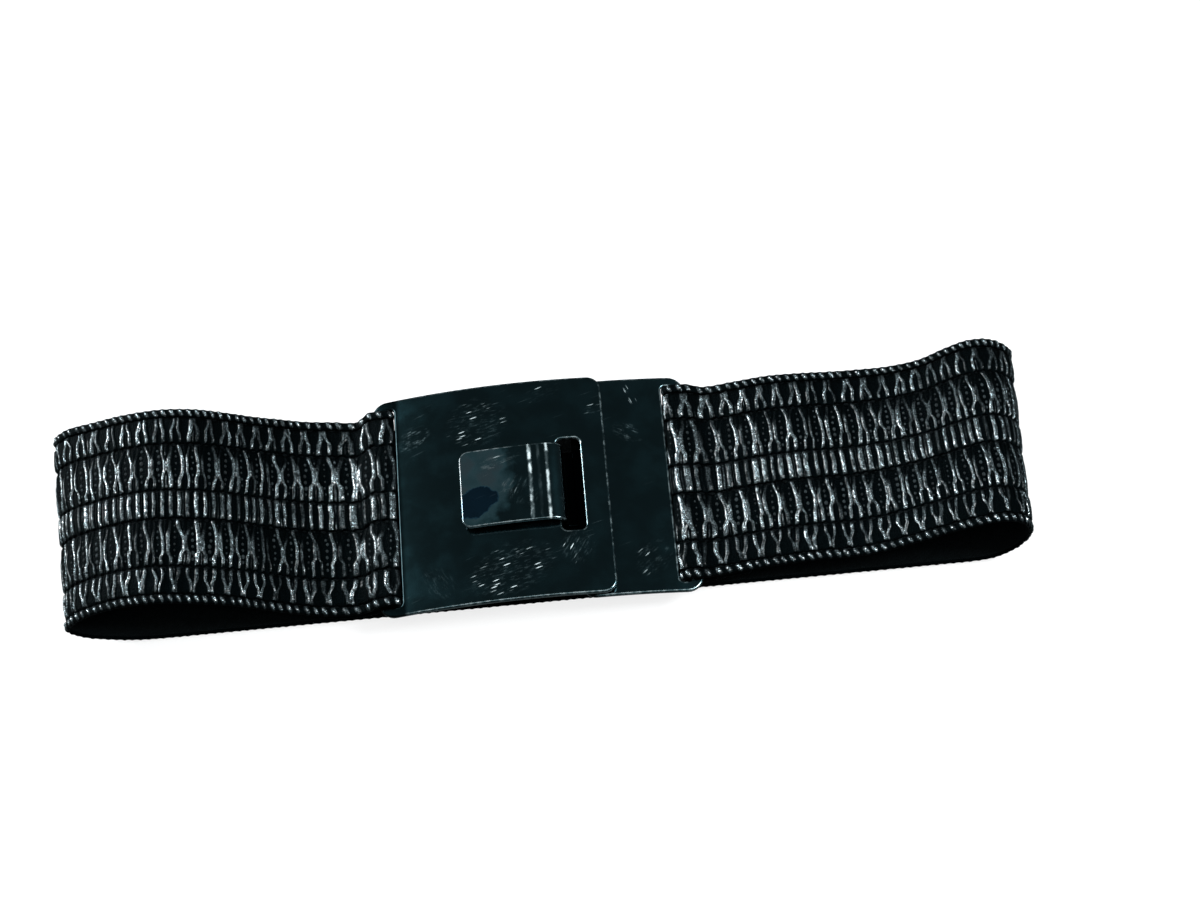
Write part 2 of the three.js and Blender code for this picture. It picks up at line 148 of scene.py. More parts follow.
# Fineness of the surfaces
ROUTE_STEPS = 40
NEAR_BAR_POINTS, NEAR_BAR_STEPS = 5, 400  # the stretch that the stitched end lies under
RIB_SHARES = (0.0, 0.34, 0.66, 1.0)
GAP_SHARES = (0.25, 0.5, 0.75)
WIDE_SAMPLES = 28
NARROW_SAMPLES = 18
WEBBING_STEP = 1.2
WEBBING_COLUMNS = 13
RIM_STEPS = 5
CORNER_STEPS = 8
OUTLINE_STEPS = (16, 24)  # along the plate and across it
SLOT_RING_STEPS = 14
HOOK_RING_STEPS = 10
TONGUE_STEPS = (110, 20)
TONGUE_FILL_STEPS = 8
TONGUE_TURN_SAMPLES = 24
TONGUE_FLAT_SAMPLES = 60

# Shape of the strap's surface, in millimetres unless it is a share
CROWN = 0.95  # how far a row's borders lie below its middle
SEAM_SLOPE = (0.62, 0.74)  # how steeply a rib's two ends rise from the seams
SEAM_PULL = 0.05  # share of a row that the seams pull to and fro
SLOT_SWELL = 0.52  # how far the strap swells where it fills a slot
SWELL_LENGTH = 2.6
FOLD_SPREAD = 17.0  # how far from a bar the pattern stays wider
END_MARGIN = 0.3  # of the strap past its first and last rib
CORD_DEPTH = 1.5  # of a looped edge's middle below the crests
CORD_RISE = 0.75  # half its thickness, and as much again at each loop
DOT_ROWS = (-2.5, -1.5, -0.5, 0.5, 1.5, 2.5)
DOT_PITCH = 2.35
STITCH_LINES = (2.5, 6.0)  # from each end of the strap
STITCH_PITCH = 3.4
STITCH_LENGTH = 2.8
STITCH_RADIUS = 0.34

# Shape of the plates' meshes, in millimetres
RIM_SUPPORT = 0.25  # of flat face that is kept beside each rounded edge
SPLIT_DISTANCE = 14.0  # from the hook slot to the line where the front plate's two rings meet
SPLIT_CORNER = 6.0
TONGUE_RIM = 0.5
TONGUE_RIM_SUPPORT = 0.2
TONGUE_ROOT_CORNER = 0.8
NORMAL_REACH = 0.35
MERGE_REACH = 1e-6
MERGE_DISTANCE = 2e-6  # in metres


def length_property(name, default, description):
    return FloatProperty(name=name, default=default, description=description, unit="LENGTH")


def colour_property(name, default, description):
    return FloatVectorProperty(
        name=name, default=default, description=description, subtype="COLOR"
    )


class BeltSizes(bpy.types.PropertyGroup):
    """Sizes of the belt that a user would change."""

    width: length_property("Strap width", 0.075, "From edge to edge")
    thickness: length_property("Strap thickness", 0.0026, "Over the crests of the ribs")
    seam_inner: length_property("Inner seams", 0.0055, "From the strap's middle line")
    seam_outer: length_property("Outer seams", 0.0236, "From the strap's middle line")
    edge_band: length_property("Looped edge", 0.0034, "Width of each looped edge")
    pattern_pitch: length_property("Pattern pitch", 0.00625, "Length of one pair of ribs")
    rib_width: length_property("Rib width", 0.0020, "Of one rib at its foot")
    rib_height: length_property("Rib height", 0.0007, "From valley to crest")
    fold_stretch: FloatProperty(
        name="Stretch at the bars",
        description="How much wider the pattern is where the strap folds over a bar",
        default=0.42,
        subtype="FACTOR",
    )
    plate_thickness: length_property("Plate thickness", 0.002, "Of both buckle plates")
    edge_radius: length_property("Edge rounding", 0.00065, "Radius of the plates' edges")
    seed: IntProperty(name="Seed", description="Changes the ribs' small irregularities", default=7)


class BeltColours(bpy.types.PropertyGroup):
    """Colours of the belt's finishes and of the stage."""

    rib: colour_property("Rib yarn", (0.2, 0.248, 0.266), "Glossy rib yarn")
    valley: colour_property("Valleys", (0.0008, 0.0016, 0.0019), "Cloth between the ribs")
    dull_yarn: colour_property("Dull yarn", (0.03, 0.042, 0.046), "Dots and stitches")
    metal: colour_property("Metal", (0.015, 0.046, 0.055), "Dark plated metal")
    # Worn metal also colours the painted highlight streaks on the tongue's bend and the painted
    # part of the rims' highlight lines.
    bare_metal: colour_property("Worn metal", (0.48, 0.55, 0.56), "Scratches and rubbed edges")
    film: colour_property("Film", (0.008, 0.0142, 0.0168), "Dull film on the tongue")
    blued: colour_property("Blued patch", (0.004, 0.035, 0.075), "Darker patch on the tongue")
    floor: colour_property("Floor", (0.86, 0.86, 0.86), "Plain pale floor")


def sizes():
    return bpy.context.scene.belt_sizes


def colours():
    return bpy.context.scene.belt_colours


def mm(length):
    return length / MM


# ---------------------------------------------------------------- places


class Places:
    """Places of the buckle along X and the arcs that its plates follow, as in the solid model."""

    def __init__(self):
        size = sizes()
        self.width = mm(size.width)
        self.strap = mm(size.thickness)
        self.plate = mm(size.plate_thickness)
        self.slot_width = self.plate / 2 + FIT_GAP + self.strap + SLOT_CLEARANCE
        self.slot_half = self.width / 2 + SLOT_END_GAP
        self.plate_half = self.slot_half + SLOT_END_WEB
        self.hook_slot_half = TONGUE_WIDTH / 2 + TONGUE_SIDE_GAP
        slot_to_riser = RISER_CLEARANCE + TONGUE_THICKNESS / 2
        free_part = FRONT_PLATE_LENGTH - HOOK_SLOT_INSET - HOOK_SLOT_LENGTH
        buckle = free_part + slot_to_riser + TONGUE_ROOT + HOOK_PLATE_LENGTH
        belt = LEFT_LOOP_LENGTH + buckle + RIGHT_LOOP_LENGTH
        self.front_outer = LEFT_LOOP_LENGTH - belt / 2
        self.front_free = self.front_outer + FRONT_PLATE_LENGTH
        self.hook_slot_right = self.front_free - HOOK_SLOT_INSET
        self.hook_slot_left = self.hook_slot_right - HOOK_SLOT_LENGTH
        self.riser = self.hook_slot_left + slot_to_riser
        self.hook_inner = self.riser + TONGUE_ROOT
        self.hook_outer = self.hook_inner + HOOK_PLATE_LENGTH
        middle = (self.front_outer + self.hook_outer) / 2
        self.front_arch = Arch(middle, BUCKLE_HEIGHT, self.front_outer, -1)
        hook_height = BUCKLE_HEIGHT - self.plate - PLATE_GAP
        self.hook_arch = Arch(middle + HOOK_ARCH_SHIFT, hook_height, self.hook_outer, 1)


class Arch:
    """A plate's arched top face: a circular arc about the Y direction, with its top at (x, z)."""

    def __init__(self, x, z, outer, side):
        self.x, self.z, self.outer, self.side = x, z, outer, side

    def point(self, x, above):
        """The radial line through the arc's point at x, followed to a height above the face."""
        turn = np.arcsin((np.asarray(x) - self.x) / ARCH_RADIUS)
        reach = ARCH_RADIUS + above
        return self.x + reach * np.sin(turn), self.z - ARCH_RADIUS + reach * np.cos(turn)

    def bar_point(self, along, above):
        """A point over the end bar: along runs outward from the bar's slot side."""
        return self.point(self.outer - self.side * (BAR_WIDTH - along), above)


# ---------------------------------------------------------------- the strap's route


def smooth_curve(points, steps):
    """Centripetal Catmull-Rom curve: each span is the cubic through its two ends whose end slopes
    weigh the neighbouring chords by the square roots of their lengths."""
    points = np.asarray(points, float)
    line = np.vstack([2 * points[0] - points[1], points, 2 * points[-1] - points[-2]])
    knot = np.sqrt(np.linalg.norm(np.diff(line, axis=0), axis=1))[:, None]
    before, here, after = knot[:-2], knot[1:-1], knot[2:]
    p0, p1, p2, p3 = line[:-3], line[1:-2], line[2:-1], line[3:]
    start = here * ((p1 - p0) / before - (p2 - p0) / (before + here) + (p2 - p1) / here)
    end = here * ((p2 - p1) / here - (p3 - p1) / (here + after) + (p3 - p2) / after)
    t = (np.arange(steps) / steps)[:, None, None]
    square = -3 * p1 + 3 * p2 - 2 * start - end
    cube = 2 * p1 - 2 * p2 + start + end
    curve = p1 + start * t + square * t**2 + cube * t**3
    return np.vstack([curve.swapaxes(0, 1).reshape(-1, 3), points[-1:]])


def side_points(places, arch, top_rows, end_rows, bar_edge, length, height, edge):
    """Points of one edge from the stitched end, round the bar and out to the flat part. edge is 0
    for the near edge and 1 for the far edge."""
    sign = (-1, 1)[edge]
    half = places.width / 2
    cover = FIT_GAP + places.strap

    def at(out, x, z):
        return [float(x), sign * out * half, float(z)]

    shoulder = arch.bar_point(BAR_WIDTH + SHOULDER, cover)
    centre = np.array(arch.bar_point(0, -places.plate / 2))
    up = (np.array(arch.bar_point(0, 0)) - centre) / (places.plate / 2)
    inward = np.array([-arch.side * up[1], arch.side * up[0]])
    turns = np.radians(WRAP_DEGREES)[::-1, None]
    radius = places.plate / 2 + cover
    wrap = centre + radius * (np.cos(turns) * inward + np.sin(turns) * up)
    top = [at(bar_edge[edge], *shoulder)]
    for row in top_rows:
        along, rise, out = row[edge]
        climb = shoulder[1] + rise * (height - shoulder[1])
        top.append(at(out, arch.outer + arch.side * along * length, climb))
    for row in end_rows:
        along, lift = row[edge]
        top.append(at(1, arch.outer + arch.side * along * length, lift * height))
    near_bar = smooth_curve(top[:NEAR_BAR_POINTS], NEAR_BAR_STEPS)
    slope = np.gradient(near_bar, axis=0)
    slope /= np.hypot(slope[:, 0], slope[:, 2])[:, None]
    reach = np.abs(near_bar[:, 0] - arch.outer)
    drop = 2 * places.strap + LAYER_GAP
    stitched = []
    for share in FOLD_BACK_SHARES:
        i = int(np.argmin(np.abs(reach - share * FOLD_BACK_LENGTH)))
        normal = arch.side * np.array([-slope[i, 2], 0, slope[i, 0]])
        stitched.append(near_bar[i] - drop * normal)
    below = at(bar_edge[edge], *arch.bar_point(BAR_WIDTH, -places.plate - cover))
    return np.array([*stitched, below, *(at(bar_edge[edge], x, z) for x, z in wrap), *top])


class Route:
    """The strap's outer face, ruled between its two edge curves and read by the distance along its
    middle line, the share across from the near edge to the far edge, and the depth below the
    crests, which is measured along the normal in the XZ plane."""

    def __init__(self, places):
        edges = []
        for edge in (0, 1):
            left = side_points(
                places, places.front_arch, LEFT_TOP, LEFT_END, LEFT_BAR_EDGE,
                LEFT_LOOP_LENGTH, LEFT_LOOP_HEIGHT, edge,
            )
            right = side_points(
                places, places.hook_arch, RIGHT_TOP, RIGHT_END, RIGHT_BAR_EDGE,
                RIGHT_LOOP_LENGTH, RIGHT_LOOP_HEIGHT, edge,
            )
            share = np.arange(1, FLAT_SPANS)[:, None] / FLAT_SPANS
            flat = left[-1] * (1 - share) + right[-1] * share
            curve = smooth_curve(np.vstack([left, flat, right[::-1]]), ROUTE_STEPS)
            curve[:, 2] = np.maximum(curve[:, 2], 0)
            edges.append(curve)
        self.edges = edges
        self.slopes = [np.gradient(curve, axis=0) for curve in edges]
        middle = (edges[0] + edges[1]) / 2
        steps = np.linalg.norm(np.diff(middle, axis=0), axis=1)
        self.distance = np.concatenate([[0], np.cumsum(steps)])
        self.length = self.distance[-1]
        before_wrap = len(FOLD_BACK_SHARES) + 1
        shoulder = (before_wrap + len(WRAP_DEGREES)) * ROUTE_STEPS
        turning = int((before_wrap + (len(WRAP_DEGREES) - 1) / 2) * ROUTE_STEPS)
        self.left_bar, self.right_bar = self.distance[[shoulder, -1 - shoulder]]
        self.in_slots = self.distance[[turning, -1 - turning]]

    def bulge(self, along):
        """How far the crushed strap swells to fill the slots: a bell curve at each slot."""
        bells = (np.exp(-(((along - place) / SWELL_LENGTH) ** 2)) for place in self.in_slots)
        return SLOT_SWELL * sum(bells)

    def read(self, table, along):
        return np.stack([np.interp(along, self.distance, table[:, k]) for k in range(3)], axis=-1)

    def points(self, along, across, depth):
        """Near edge plus across times the way to the far edge, less depth times the unit normal."""
        along, across, depth = np.broadcast_arrays(along, across, depth)
        near, far = (self.read(curve, along) for curve in self.edges)
        near_slope, far_slope = (self.read(slope, along) for slope in self.slopes)
        share = across[..., None]
        point = near + (far - near) * share
        slope = near_slope + (far_slope - near_slope) * share
        size = np.hypot(slope[..., 0], slope[..., 2])
        depth = depth - self.bulge(along)
        point[..., 0] -= depth * slope[..., 2] / size
        point[..., 2] += depth * slope[..., 0] / size
        return point


class Pattern:
    """The ribs' rhythm along the strap. The number of pattern units up to a distance is the sum of
    the steps divided by the local pitch, which grows where the strap folds over a bar."""

    def __init__(self, route):
        size = sizes()
        along = np.linspace(0, route.length, 6000)
        swell = np.exp(-(((along - route.left_bar) / FOLD_SPREAD) ** 2))
        swell += 0.6 * np.exp(-(((along - route.right_bar) / FOLD_SPREAD) ** 2))
        slow = 0.035 * np.sin(along / 23.0) + 0.025 * np.sin(along / 9.1 + 2)
        self.stretch = 1 + size.fold_stretch * swell
        pitch = mm(size.pattern_pitch) * (self.stretch + slow)
        units = np.concatenate([[0], np.cumsum(np.diff(along) / pitch[1:])])
        self.count = int(units[-1])
        self.along = along
        self.units = units * self.count / units[-1]

    def distance(self, unit):
        return np.interp(unit, self.units, self.along)

    def units_at(self, along):
        return np.interp(along, self.along, self.units)

    def stretch_at(self, along):
        return np.interp(along, self.along, self.stretch)


# ---------------------------------------------------------------- meshes


def grid_faces(rows, columns, closed=False, flip=False):
    """Quads of a grid of points numbered row by row, closed in the direction of its columns."""
    row = np.arange(rows - 1)[:, None]
    column = np.arange(columns if closed else columns - 1)[None, :]
    following = (column + 1) % columns
    a = row * columns + column
    b = row * columns + following
    quads = np.stack([a, b, b + columns, a + columns], axis=-1).reshape(-1, 4)
    return quads[:, ::-1] if flip else quads


def tube_faces(rows, width, turned=False):
    """Faces of a closed tube whose rings are a grid's rows: its wall and a cap on each end. A grid
    whose rings run the other way round is turned."""
    caps = np.stack([np.arange(width)[::-1], (rows - 1) * width + np.arange(width)])
    faces = [grid_faces(rows, width, closed=True), caps]
    return [part[:, ::-1] for part in faces] if turned else faces


def repeated(faces, copies, points):
    """The faces of one piece with a number of points, repeated for a number of copies."""
    first = (np.arange(copies) * points)[:, None, None]
    return [(part[None] + first).reshape(-1, part.shape[1]) for part in faces]


def new_object(name, points, faces, layers=None, uv=None):
    """A smooth mesh in metres from points in millimetres and a list of face arrays."""
    mesh = bpy.data.meshes.new(name)
    points = np.asarray(points, float).reshape(-1, 3) * MM
    loops = np.concatenate([part.ravel() for part in faces]).astype(np.int32)
    counts = np.concatenate([np.full(len(part), part.shape[1]) for part in faces])
    starts = np.concatenate([[0], np.cumsum(counts)[:-1]]).astype(np.int32)
    mesh.vertices.add(len(points))
    mesh.vertices.foreach_set("co", points.astype(np.float32).ravel())
    mesh.loops.add(len(loops))
    mesh.loops.foreach_set("vertex_index", loops)
    mesh.polygons.add(len(starts))
    mesh.polygons.foreach_set("loop_start", starts)
    mesh.polygons.foreach_set("use_smooth", np.ones(len(starts), bool))
    for layer, values in (layers or {}).items():
        data = mesh.attributes.new(layer, "FLOAT", "POINT").data
        data.foreach_set("value", np.ravel(values).astype(np.float32))
    if uv is not None:
        per_loop = np.asarray(uv, np.float32).reshape(-1, 2)[loops]
        mesh.uv_layers.new(name="strap").data.foreach_set("uv", per_loop.ravel())
    mesh.update(calc_edges=True)
    piece = bpy.data.objects.new(name, mesh)
    bpy.context.scene.collection.objects.link(piece)
    return piece


def dress(piece, material, slot, *nodes):
    """Gives a piece its finish, its body and the solids that it stands for; slot is not used."""
    piece.data.materials.append(material)
    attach(piece, "root")
    if nodes:
        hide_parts(*nodes)
    return piece


def smooth_step(value, low, high):
    """Three squares less two cubes of the share of the way from low to high."""
    share = np.clip((value - low) / (high - low), 0, 1)
    return share * share * (3 - 2 * share)


# ---------------------------------------------------------------- ribbed rows


def strip_object(name, route, along, across, depth, floor_depth, shine, y):
    """A closed strip: its top is the grid of depths, and two straight lines at floor_depth close it
    below. Rows of the grid run along the strap and columns across it. y is across in millimetres
    from the strap's middle line."""
    rows, columns = along.shape
    top = route.points(along, across, depth)
    ends = [0, -1]
    under = route.points(along[:, ends], across[:, ends], floor_depth)
    ring = np.concatenate([top, under[:, ::-1]], axis=1)
    faces = tube_faces(rows, columns + 2, turned=y[0, 0] > y[0, -1])
    flat = np.stack([along, y], axis=-1)
    uv = np.concatenate([flat, flat[:, ends][:, ::-1]], axis=1)
    layers = {"shine": np.pad(shine, ((0, 0), (0, 2)))}
    return new_object(name, ring, faces, layers, uv)


def rib_places(kind, pattern, q, rng):
    """Ribs' places in pattern units at every sample across a row. Rib 2k stands before the middle
    of unit k and rib 2k + 1 after it, each at the spread c(q) from it. In a wide row c shrinks
    quickly from the first seam, stays small over a plateau, so that the pair runs close together
    as a stem, and grows slowly to the second seam. In an outer row c grows towards the edge, so
    that neighbouring pairs close into loops."""
    count = pattern.count

    def vary(mean, deviation, low=-9.0, high=9.0):
        return np.clip(rng.normal(mean, deviation, (count, 1)), low, high)

    if kind == "wide":
        start, stop = vary(0.38, 0.05, 0.26, 0.5), vary(0.62, 0.06, 0.5, 0.76)
        foot_ramp, arm_ramp = vary(0.16, 0.04, 0.1, 0.28), vary(0.34, 0.05, 0.22, 0.42)
        merged = vary(0.1, 0.03, 0.055, 0.2)
        feet, arms = vary(0.25, 0.02), vary(0.29, 0.025)
        rising = smooth_step(q, start - foot_ramp, start)
        falling = smooth_step(q, stop, stop + arm_ramp)
        spread = feet + (merged - feet) * rising + (arms - merged) * falling
        lean = vary(0, 0.04) * np.sin(np.pi * q) + vary(0.12, 0.06) * (q - 0.5) * np.sin(np.pi * q)
    elif kind == "outer":
        closing, turn = vary(0.42, 0.03, 0.36, 0.46), vary(0.36, 0.1, 0.15, 0.6)
        spread = 0.25 + (closing - 0.25) * smooth_step(q, turn, turn + 0.36)
        lean = vary(0, 0.03) * np.sin(np.pi * q)
    else:
        spread = 0.25 + vary(0, 0.012) * np.ones_like(q)
        lean = vary(0, 0.02) * np.sin(np.pi * q) + vary(0.03, 0.02) * (q - 0.5)
    centre = np.arange(count)[:, None] + 0.5 + lean
    wobble = rng.normal(0, 0.018, (2, count, 1)) * np.sin(np.pi * q)
    wobble += rng.normal(0, 0.013, (2, count, 1)) * np.sin(3 * np.pi * q)
    places = np.stack([centre - spread + wobble[0], centre + spread + wobble[1]], axis=1)
    return pattern.distance(places.reshape(2 * count, len(q)))


# Columns: rib width as a share of the named one, samples across the row, shine of the ribs before
# and after the middle of each unit
RIB_KINDS = {
    "wide": (0.88, WIDE_SAMPLES, 0.75, 1.0),
    "outer": (0.88, NARROW_SAMPLES, 0.9, 0.7),
    "middle": (1.0, NARROW_SAMPLES, 0.75, 1.0),
}


def row_sag(q):
    """How far a row has sunk at the shares q across it: the crown times one minus the 0.6th power
    of a half sine wave."""
    return CROWN * (1 - np.sin(np.pi * np.clip(q, 0, 1)) ** 0.6)


def webs(kind, q, opened, odd, in_gap, rng):
    """Low cloth in the valleys, as shares of a rib's height: webs where the two ribs of a pair
    part, by the bell curve opened, a skin over the arms of a fork, and faint ridges."""
    near_seam = 1 - smooth_step(np.minimum(q, 1 - q), 0.1, 0.36)
    in_pair = 1 - odd[:-1, :, None]
    if kind == "wide":
        skin = 0.62 * smooth_step(q, 0.58, 0.8) + 0.2 * near_seam * (q < 0.5)
        return in_pair * np.maximum(opened * (q < 0.5), skin)[:, None, :] * in_gap
    if kind == "outer":
        web = (1 - in_pair) * opened[:, None, :] * in_gap
        return np.maximum(web, in_pair * 0.25 * near_seam * in_gap)
    ridge = (1 - in_pair) * 0.5 * in_gap**4 * rng.uniform(0.4, 1.1, (len(opened), 1, 1))
    return np.maximum(in_pair * 0.25 * near_seam * in_gap, ridge)


def rib_row(name, route, pattern, kind, low, high, seed):
    """One lengthwise row of ribs, from the y of its first seam to that of its second, as a height
    field on a grid that follows the ribs. Each interval between two ribs has four samples down
    the first rib's flank, three across the valley and three up the next flank. A flank falls as
    a power of one minus the square of the share of the rib's half width, the ends of every rib
    sink into the seams, and the whole row is a little crowned."""
    size = sizes()
    rng = np.random.default_rng(seed)
    width_share, samples, *shines = RIB_KINDS[kind]
    even = np.linspace(0, 1, samples)
    q = 0.45 * even + 0.55 * (0.5 - 0.5 * np.cos(np.pi * even))
    ribs = rib_places(kind, pattern, q, rng)
    gap = np.diff(ribs, axis=0)
    here, following = ribs[:-1], ribs[1:]
    odd = (np.arange(len(ribs)) % 2)[:, None]
    widths = np.clip(rng.normal(1, 0.13, (len(ribs), 1)), 0.68, 1.35)
    foot = mm(size.rib_width) / 2 * width_share * widths * pattern.stretch_at(ribs) ** 1.5
    reach = np.minimum(foot[:-1], 0.48 * gap)
    next_reach = np.minimum(foot[1:], 0.48 * gap)
    merge = 1 - smooth_step(gap / foot[:-1], 1.3, 2.1)
    inner = gap - reach - next_reach
    parts = [here + share * reach for share in RIB_SHARES]
    parts += [here + reach + share * inner for share in GAP_SHARES]
    parts += [following - share * next_reach for share in RIB_SHARES[:0:-1]]
    along = np.stack(parts, axis=1)
    down, up = len(RIB_SHARES), len(RIB_SHARES) - 1
    flank = np.array([*RIB_SHARES, *[1.0] * len(GAP_SHARES), *RIB_SHARES[:0:-1]])[None, :, None]
    in_gap = np.zeros((1, down + len(GAP_SHARES) + up, 1))
    in_gap[0, down:-up, 0] = (0.75, 1.0, 0.75)
    first = np.arange(in_gap.size)[None, :, None] < down + 1

    def own(values):
        """A value of the rib that each sample belongs to."""
        values = values * np.ones_like(ribs)
        return np.where(first, values[:-1, None], values[1:, None])

    tall = np.clip(rng.normal(1, 0.07, (len(ribs), 1)), 0.78, 1.1) * np.ones_like(ribs)
    if kind == "wide":
        tall *= 1 - (0.25 + 0.35 * (1 - odd)) * smooth_step(q, 0.6, 0.82)
    bump = np.clip(1 - flank**2, 0, 1) ** 0.75 * own(tall)
    crown = np.maximum(bump, (0.84 * merge)[:, None, :] * own(tall))
    opened = np.exp(-(((gap / foot[:-1] - 2.8) / 0.45) ** 2)) * 0.75
    height = np.maximum(crown, webs(kind, q, opened, odd, in_gap, rng))
    height = height * (1 + rng.normal(0, 0.05, height.shape))
    from_seam = np.minimum(q * SEAM_SLOPE[0], (1 - q) * SEAM_SLOPE[1]) * abs(high - low)
    height = height * (0.03 + 0.97 * np.sin(np.clip(from_seam, 0, 1) * np.pi / 2))
    total = (len(here) * in_gap.size, samples)
    shine = np.where(odd == 1, shines[1], shines[0]) * rng.uniform(0.45, 1.0, (len(ribs), 1))
    shine = own(shine) * np.clip(np.maximum(crown, 0.7 * opened[:, None, :] * in_gap), 0, 1)
    shine = shine * smooth_step(from_seam, 0.12, 0.55)
    along, height, shine = (part.reshape(total) for part in (along, height, shine))
    height = np.clip(height, 0, 1.08)
    y = low + (high - low) * q
    beat = 2 * np.pi * pattern.units_at(along)
    pull = np.exp(-((np.minimum(q, 1 - q) / SEAM_PULL) ** 2))
    pull = pull * np.sign(0.5 - q) * np.sign(high - low)
    y = y + (0.34 * np.sin(2 * beat) + 0.16 * np.sin(0.7 * beat + seed)) * pull
    across = (1 + y / (mm(size.width) / 2)) / 2
    deepest = mm(size.rib_height)
    sag = row_sag(q)
    crushed = np.clip(route.bulge(along) / SLOT_SWELL, 0, 1)
    depth = (deepest * (1 - height) + sag * (1 - height * 0.5)) * (1 - 0.8 * crushed)
    inside = np.clip(along, END_MARGIN, route.length - END_MARGIN)
    return strip_object(name, route, inside, across, depth, deepest + CROWN + 0.2, shine, y)


def edge_cord(name, route, pattern, side, seed):
    """A looped edge: a flat cord along the strap with one yarn loop at every rib. The cord is an
    ellipse carried along the strap, and each loop raises its upper half by a bell curve."""
    size = sizes()
    rng = np.random.default_rng(seed)
    beads = 2 * pattern.count
    shares = np.array([-0.5, -0.34, -0.23, -0.12, 0.0, 0.12, 0.23, 0.34])
    jitter = rng.normal(0, 0.06, (beads, 1))
    unit = (np.arange(beads)[:, None] + 0.5 + shares + jitter * (1 - (2 * shares) ** 2)) / 2
    along = pattern.distance(unit).ravel()
    bell = np.exp(-((shares / 0.24) ** 2)) * np.clip(rng.normal(1, 0.15, (beads, 1)), 0.6, 1.3)
    bell = bell.ravel()[:, None]
    half_band = mm(size.edge_band) / 2
    turn = np.linspace(0, 2 * np.pi, 16, endpoint=False)[None, :]
    middle = side * (mm(size.width) / 2 - half_band)
    out = middle + np.cos(turn) * half_band * (0.94 + 0.1 * bell) * side
    upper = np.clip(np.sin(turn), 0, 1)
    depth = CORD_DEPTH - CORD_RISE * (np.sin(turn) + bell * upper**1.5)
    crushed = np.clip(route.bulge(along)[:, None] / SLOT_SWELL, 0, 1)
    depth = depth * (1 - 0.8 * crushed * upper)
    across = (1 + out / (mm(size.width) / 2)) / 2
    slant = 0.5 * np.cos(turn) * side
    place = np.clip(along[:, None] + slant, END_MARGIN, route.length - END_MARGIN)
    ring = route.points(place, across, depth)
    faces = tube_faces(len(along), turn.shape[1], turned=side > 0)
    shine = 0.85 * np.clip(bell * upper**1.2, 0, 1)
    return new_object(name, ring, faces, {"shine": shine}, np.stack([place, out], axis=-1))


def webbing(route):
    """The woven ground under the ribs: a flat section whose two sides are half ellipses, carried
    along the route."""
    size = sizes()
    half = mm(size.width) / 2
    inner = mm(size.thickness)
    outer = mm(size.rib_height) + CROWN + 0.08
    wall = (inner - outer) / 2
    edge = half - mm(size.edge_band) * 0.45
    turn = np.radians([30, 60, 90, 120, 150])
    flat = np.linspace(-edge, edge, WEBBING_COLUMNS)
    bow = wall * np.sin(turn)
    y = np.concatenate([flat, edge + bow, flat[::-1], -edge - bow])
    rim = (inner + outer) / 2 - wall * np.cos(turn)
    level = np.ones(WEBBING_COLUMNS)
    depth = np.concatenate([outer * level, rim, inner * level, rim[::-1]])
    count = int(route.length / WEBBING_STEP)
    along = np.linspace(0, route.length, count)[:, None] * np.ones(len(y))
    y, depth = np.broadcast_arrays(y, depth, along)[:2]
    ring = route.points(along, (1 + y / half) / 2, depth)
    faces = tube_faces(*y.shape)
    return new_object("elastic_webbing", ring, faces, uv=np.stack([along, y], axis=-1))


def lens_dots(route, pattern):
    """Dull yarn dots in the wide rows' valleys, one column at every unit border: each dot is a low
    dome, a ring of eight points at its foot and one half way up, and its top."""
    size = sizes()
    rng = np.random.default_rng(size.seed + 40)
    half = mm(size.width) / 2
    turn = np.linspace(0, 2 * np.pi, 8, endpoint=False)
    rings = [(1.0, -0.12), (0.95, 0.16), (0.6, 0.38)]
    domes = [[r * np.cos(a), r * np.sin(a), h] for r, h in rings for a in turn]
    local = np.array([*domes, [0, 0, 0.45]])
    sides = grid_faces(3, 8, closed=True, flip=True)
    cap = np.array([[24, 16 + (i + 1) % 8, 16 + i] for i in range(8)])
    base = np.arange(8)[None, :]
    low, high = mm(size.seam_inner), mm(size.seam_outer)
    middle = (low + high) / 2
    rows = np.array(DOT_ROWS) * DOT_PITCH
    unit = np.arange(1, pattern.count)
    centres = []
    for side in (-1, 1):
        u, y = np.meshgrid(unit, side * middle + rows, indexing="ij")
        shift = rng.normal(0, 0.03, u.shape)
        y = y + rng.normal(0, 0.16, u.shape) + rng.normal(0, 0.3, (len(unit), 1))
        radius = np.clip(rng.normal(0.64, 0.09, u.shape), 0.36, 0.85)
        radius *= rng.uniform(0.6, 1.05, (len(unit), 1))
        radius *= np.where(np.abs(DOT_ROWS) > 2, 0.8, 1.0)
        centres.append(np.stack([pattern.distance(u + shift), y, radius], axis=-1).reshape(-1, 3))
    centres = np.concatenate(centres)
    along = centres[:, 0, None] + centres[:, 2, None] * local[:, 0] * 0.9
    y = centres[:, 1, None] + centres[:, 2, None] * local[:, 1] * 1.1
    floor_depth = mm(size.rib_height) + 0.02
    depth = floor_depth + row_sag((np.abs(y) - low) / (high - low)) - local[:, 2]
    points = route.points(along, (1 + y / half) / 2, depth)
    faces = repeated([sides, cap, base], len(centres), len(local))
    return new_object("lens_dots", points, faces, uv=np.stack([along, y], axis=-1))


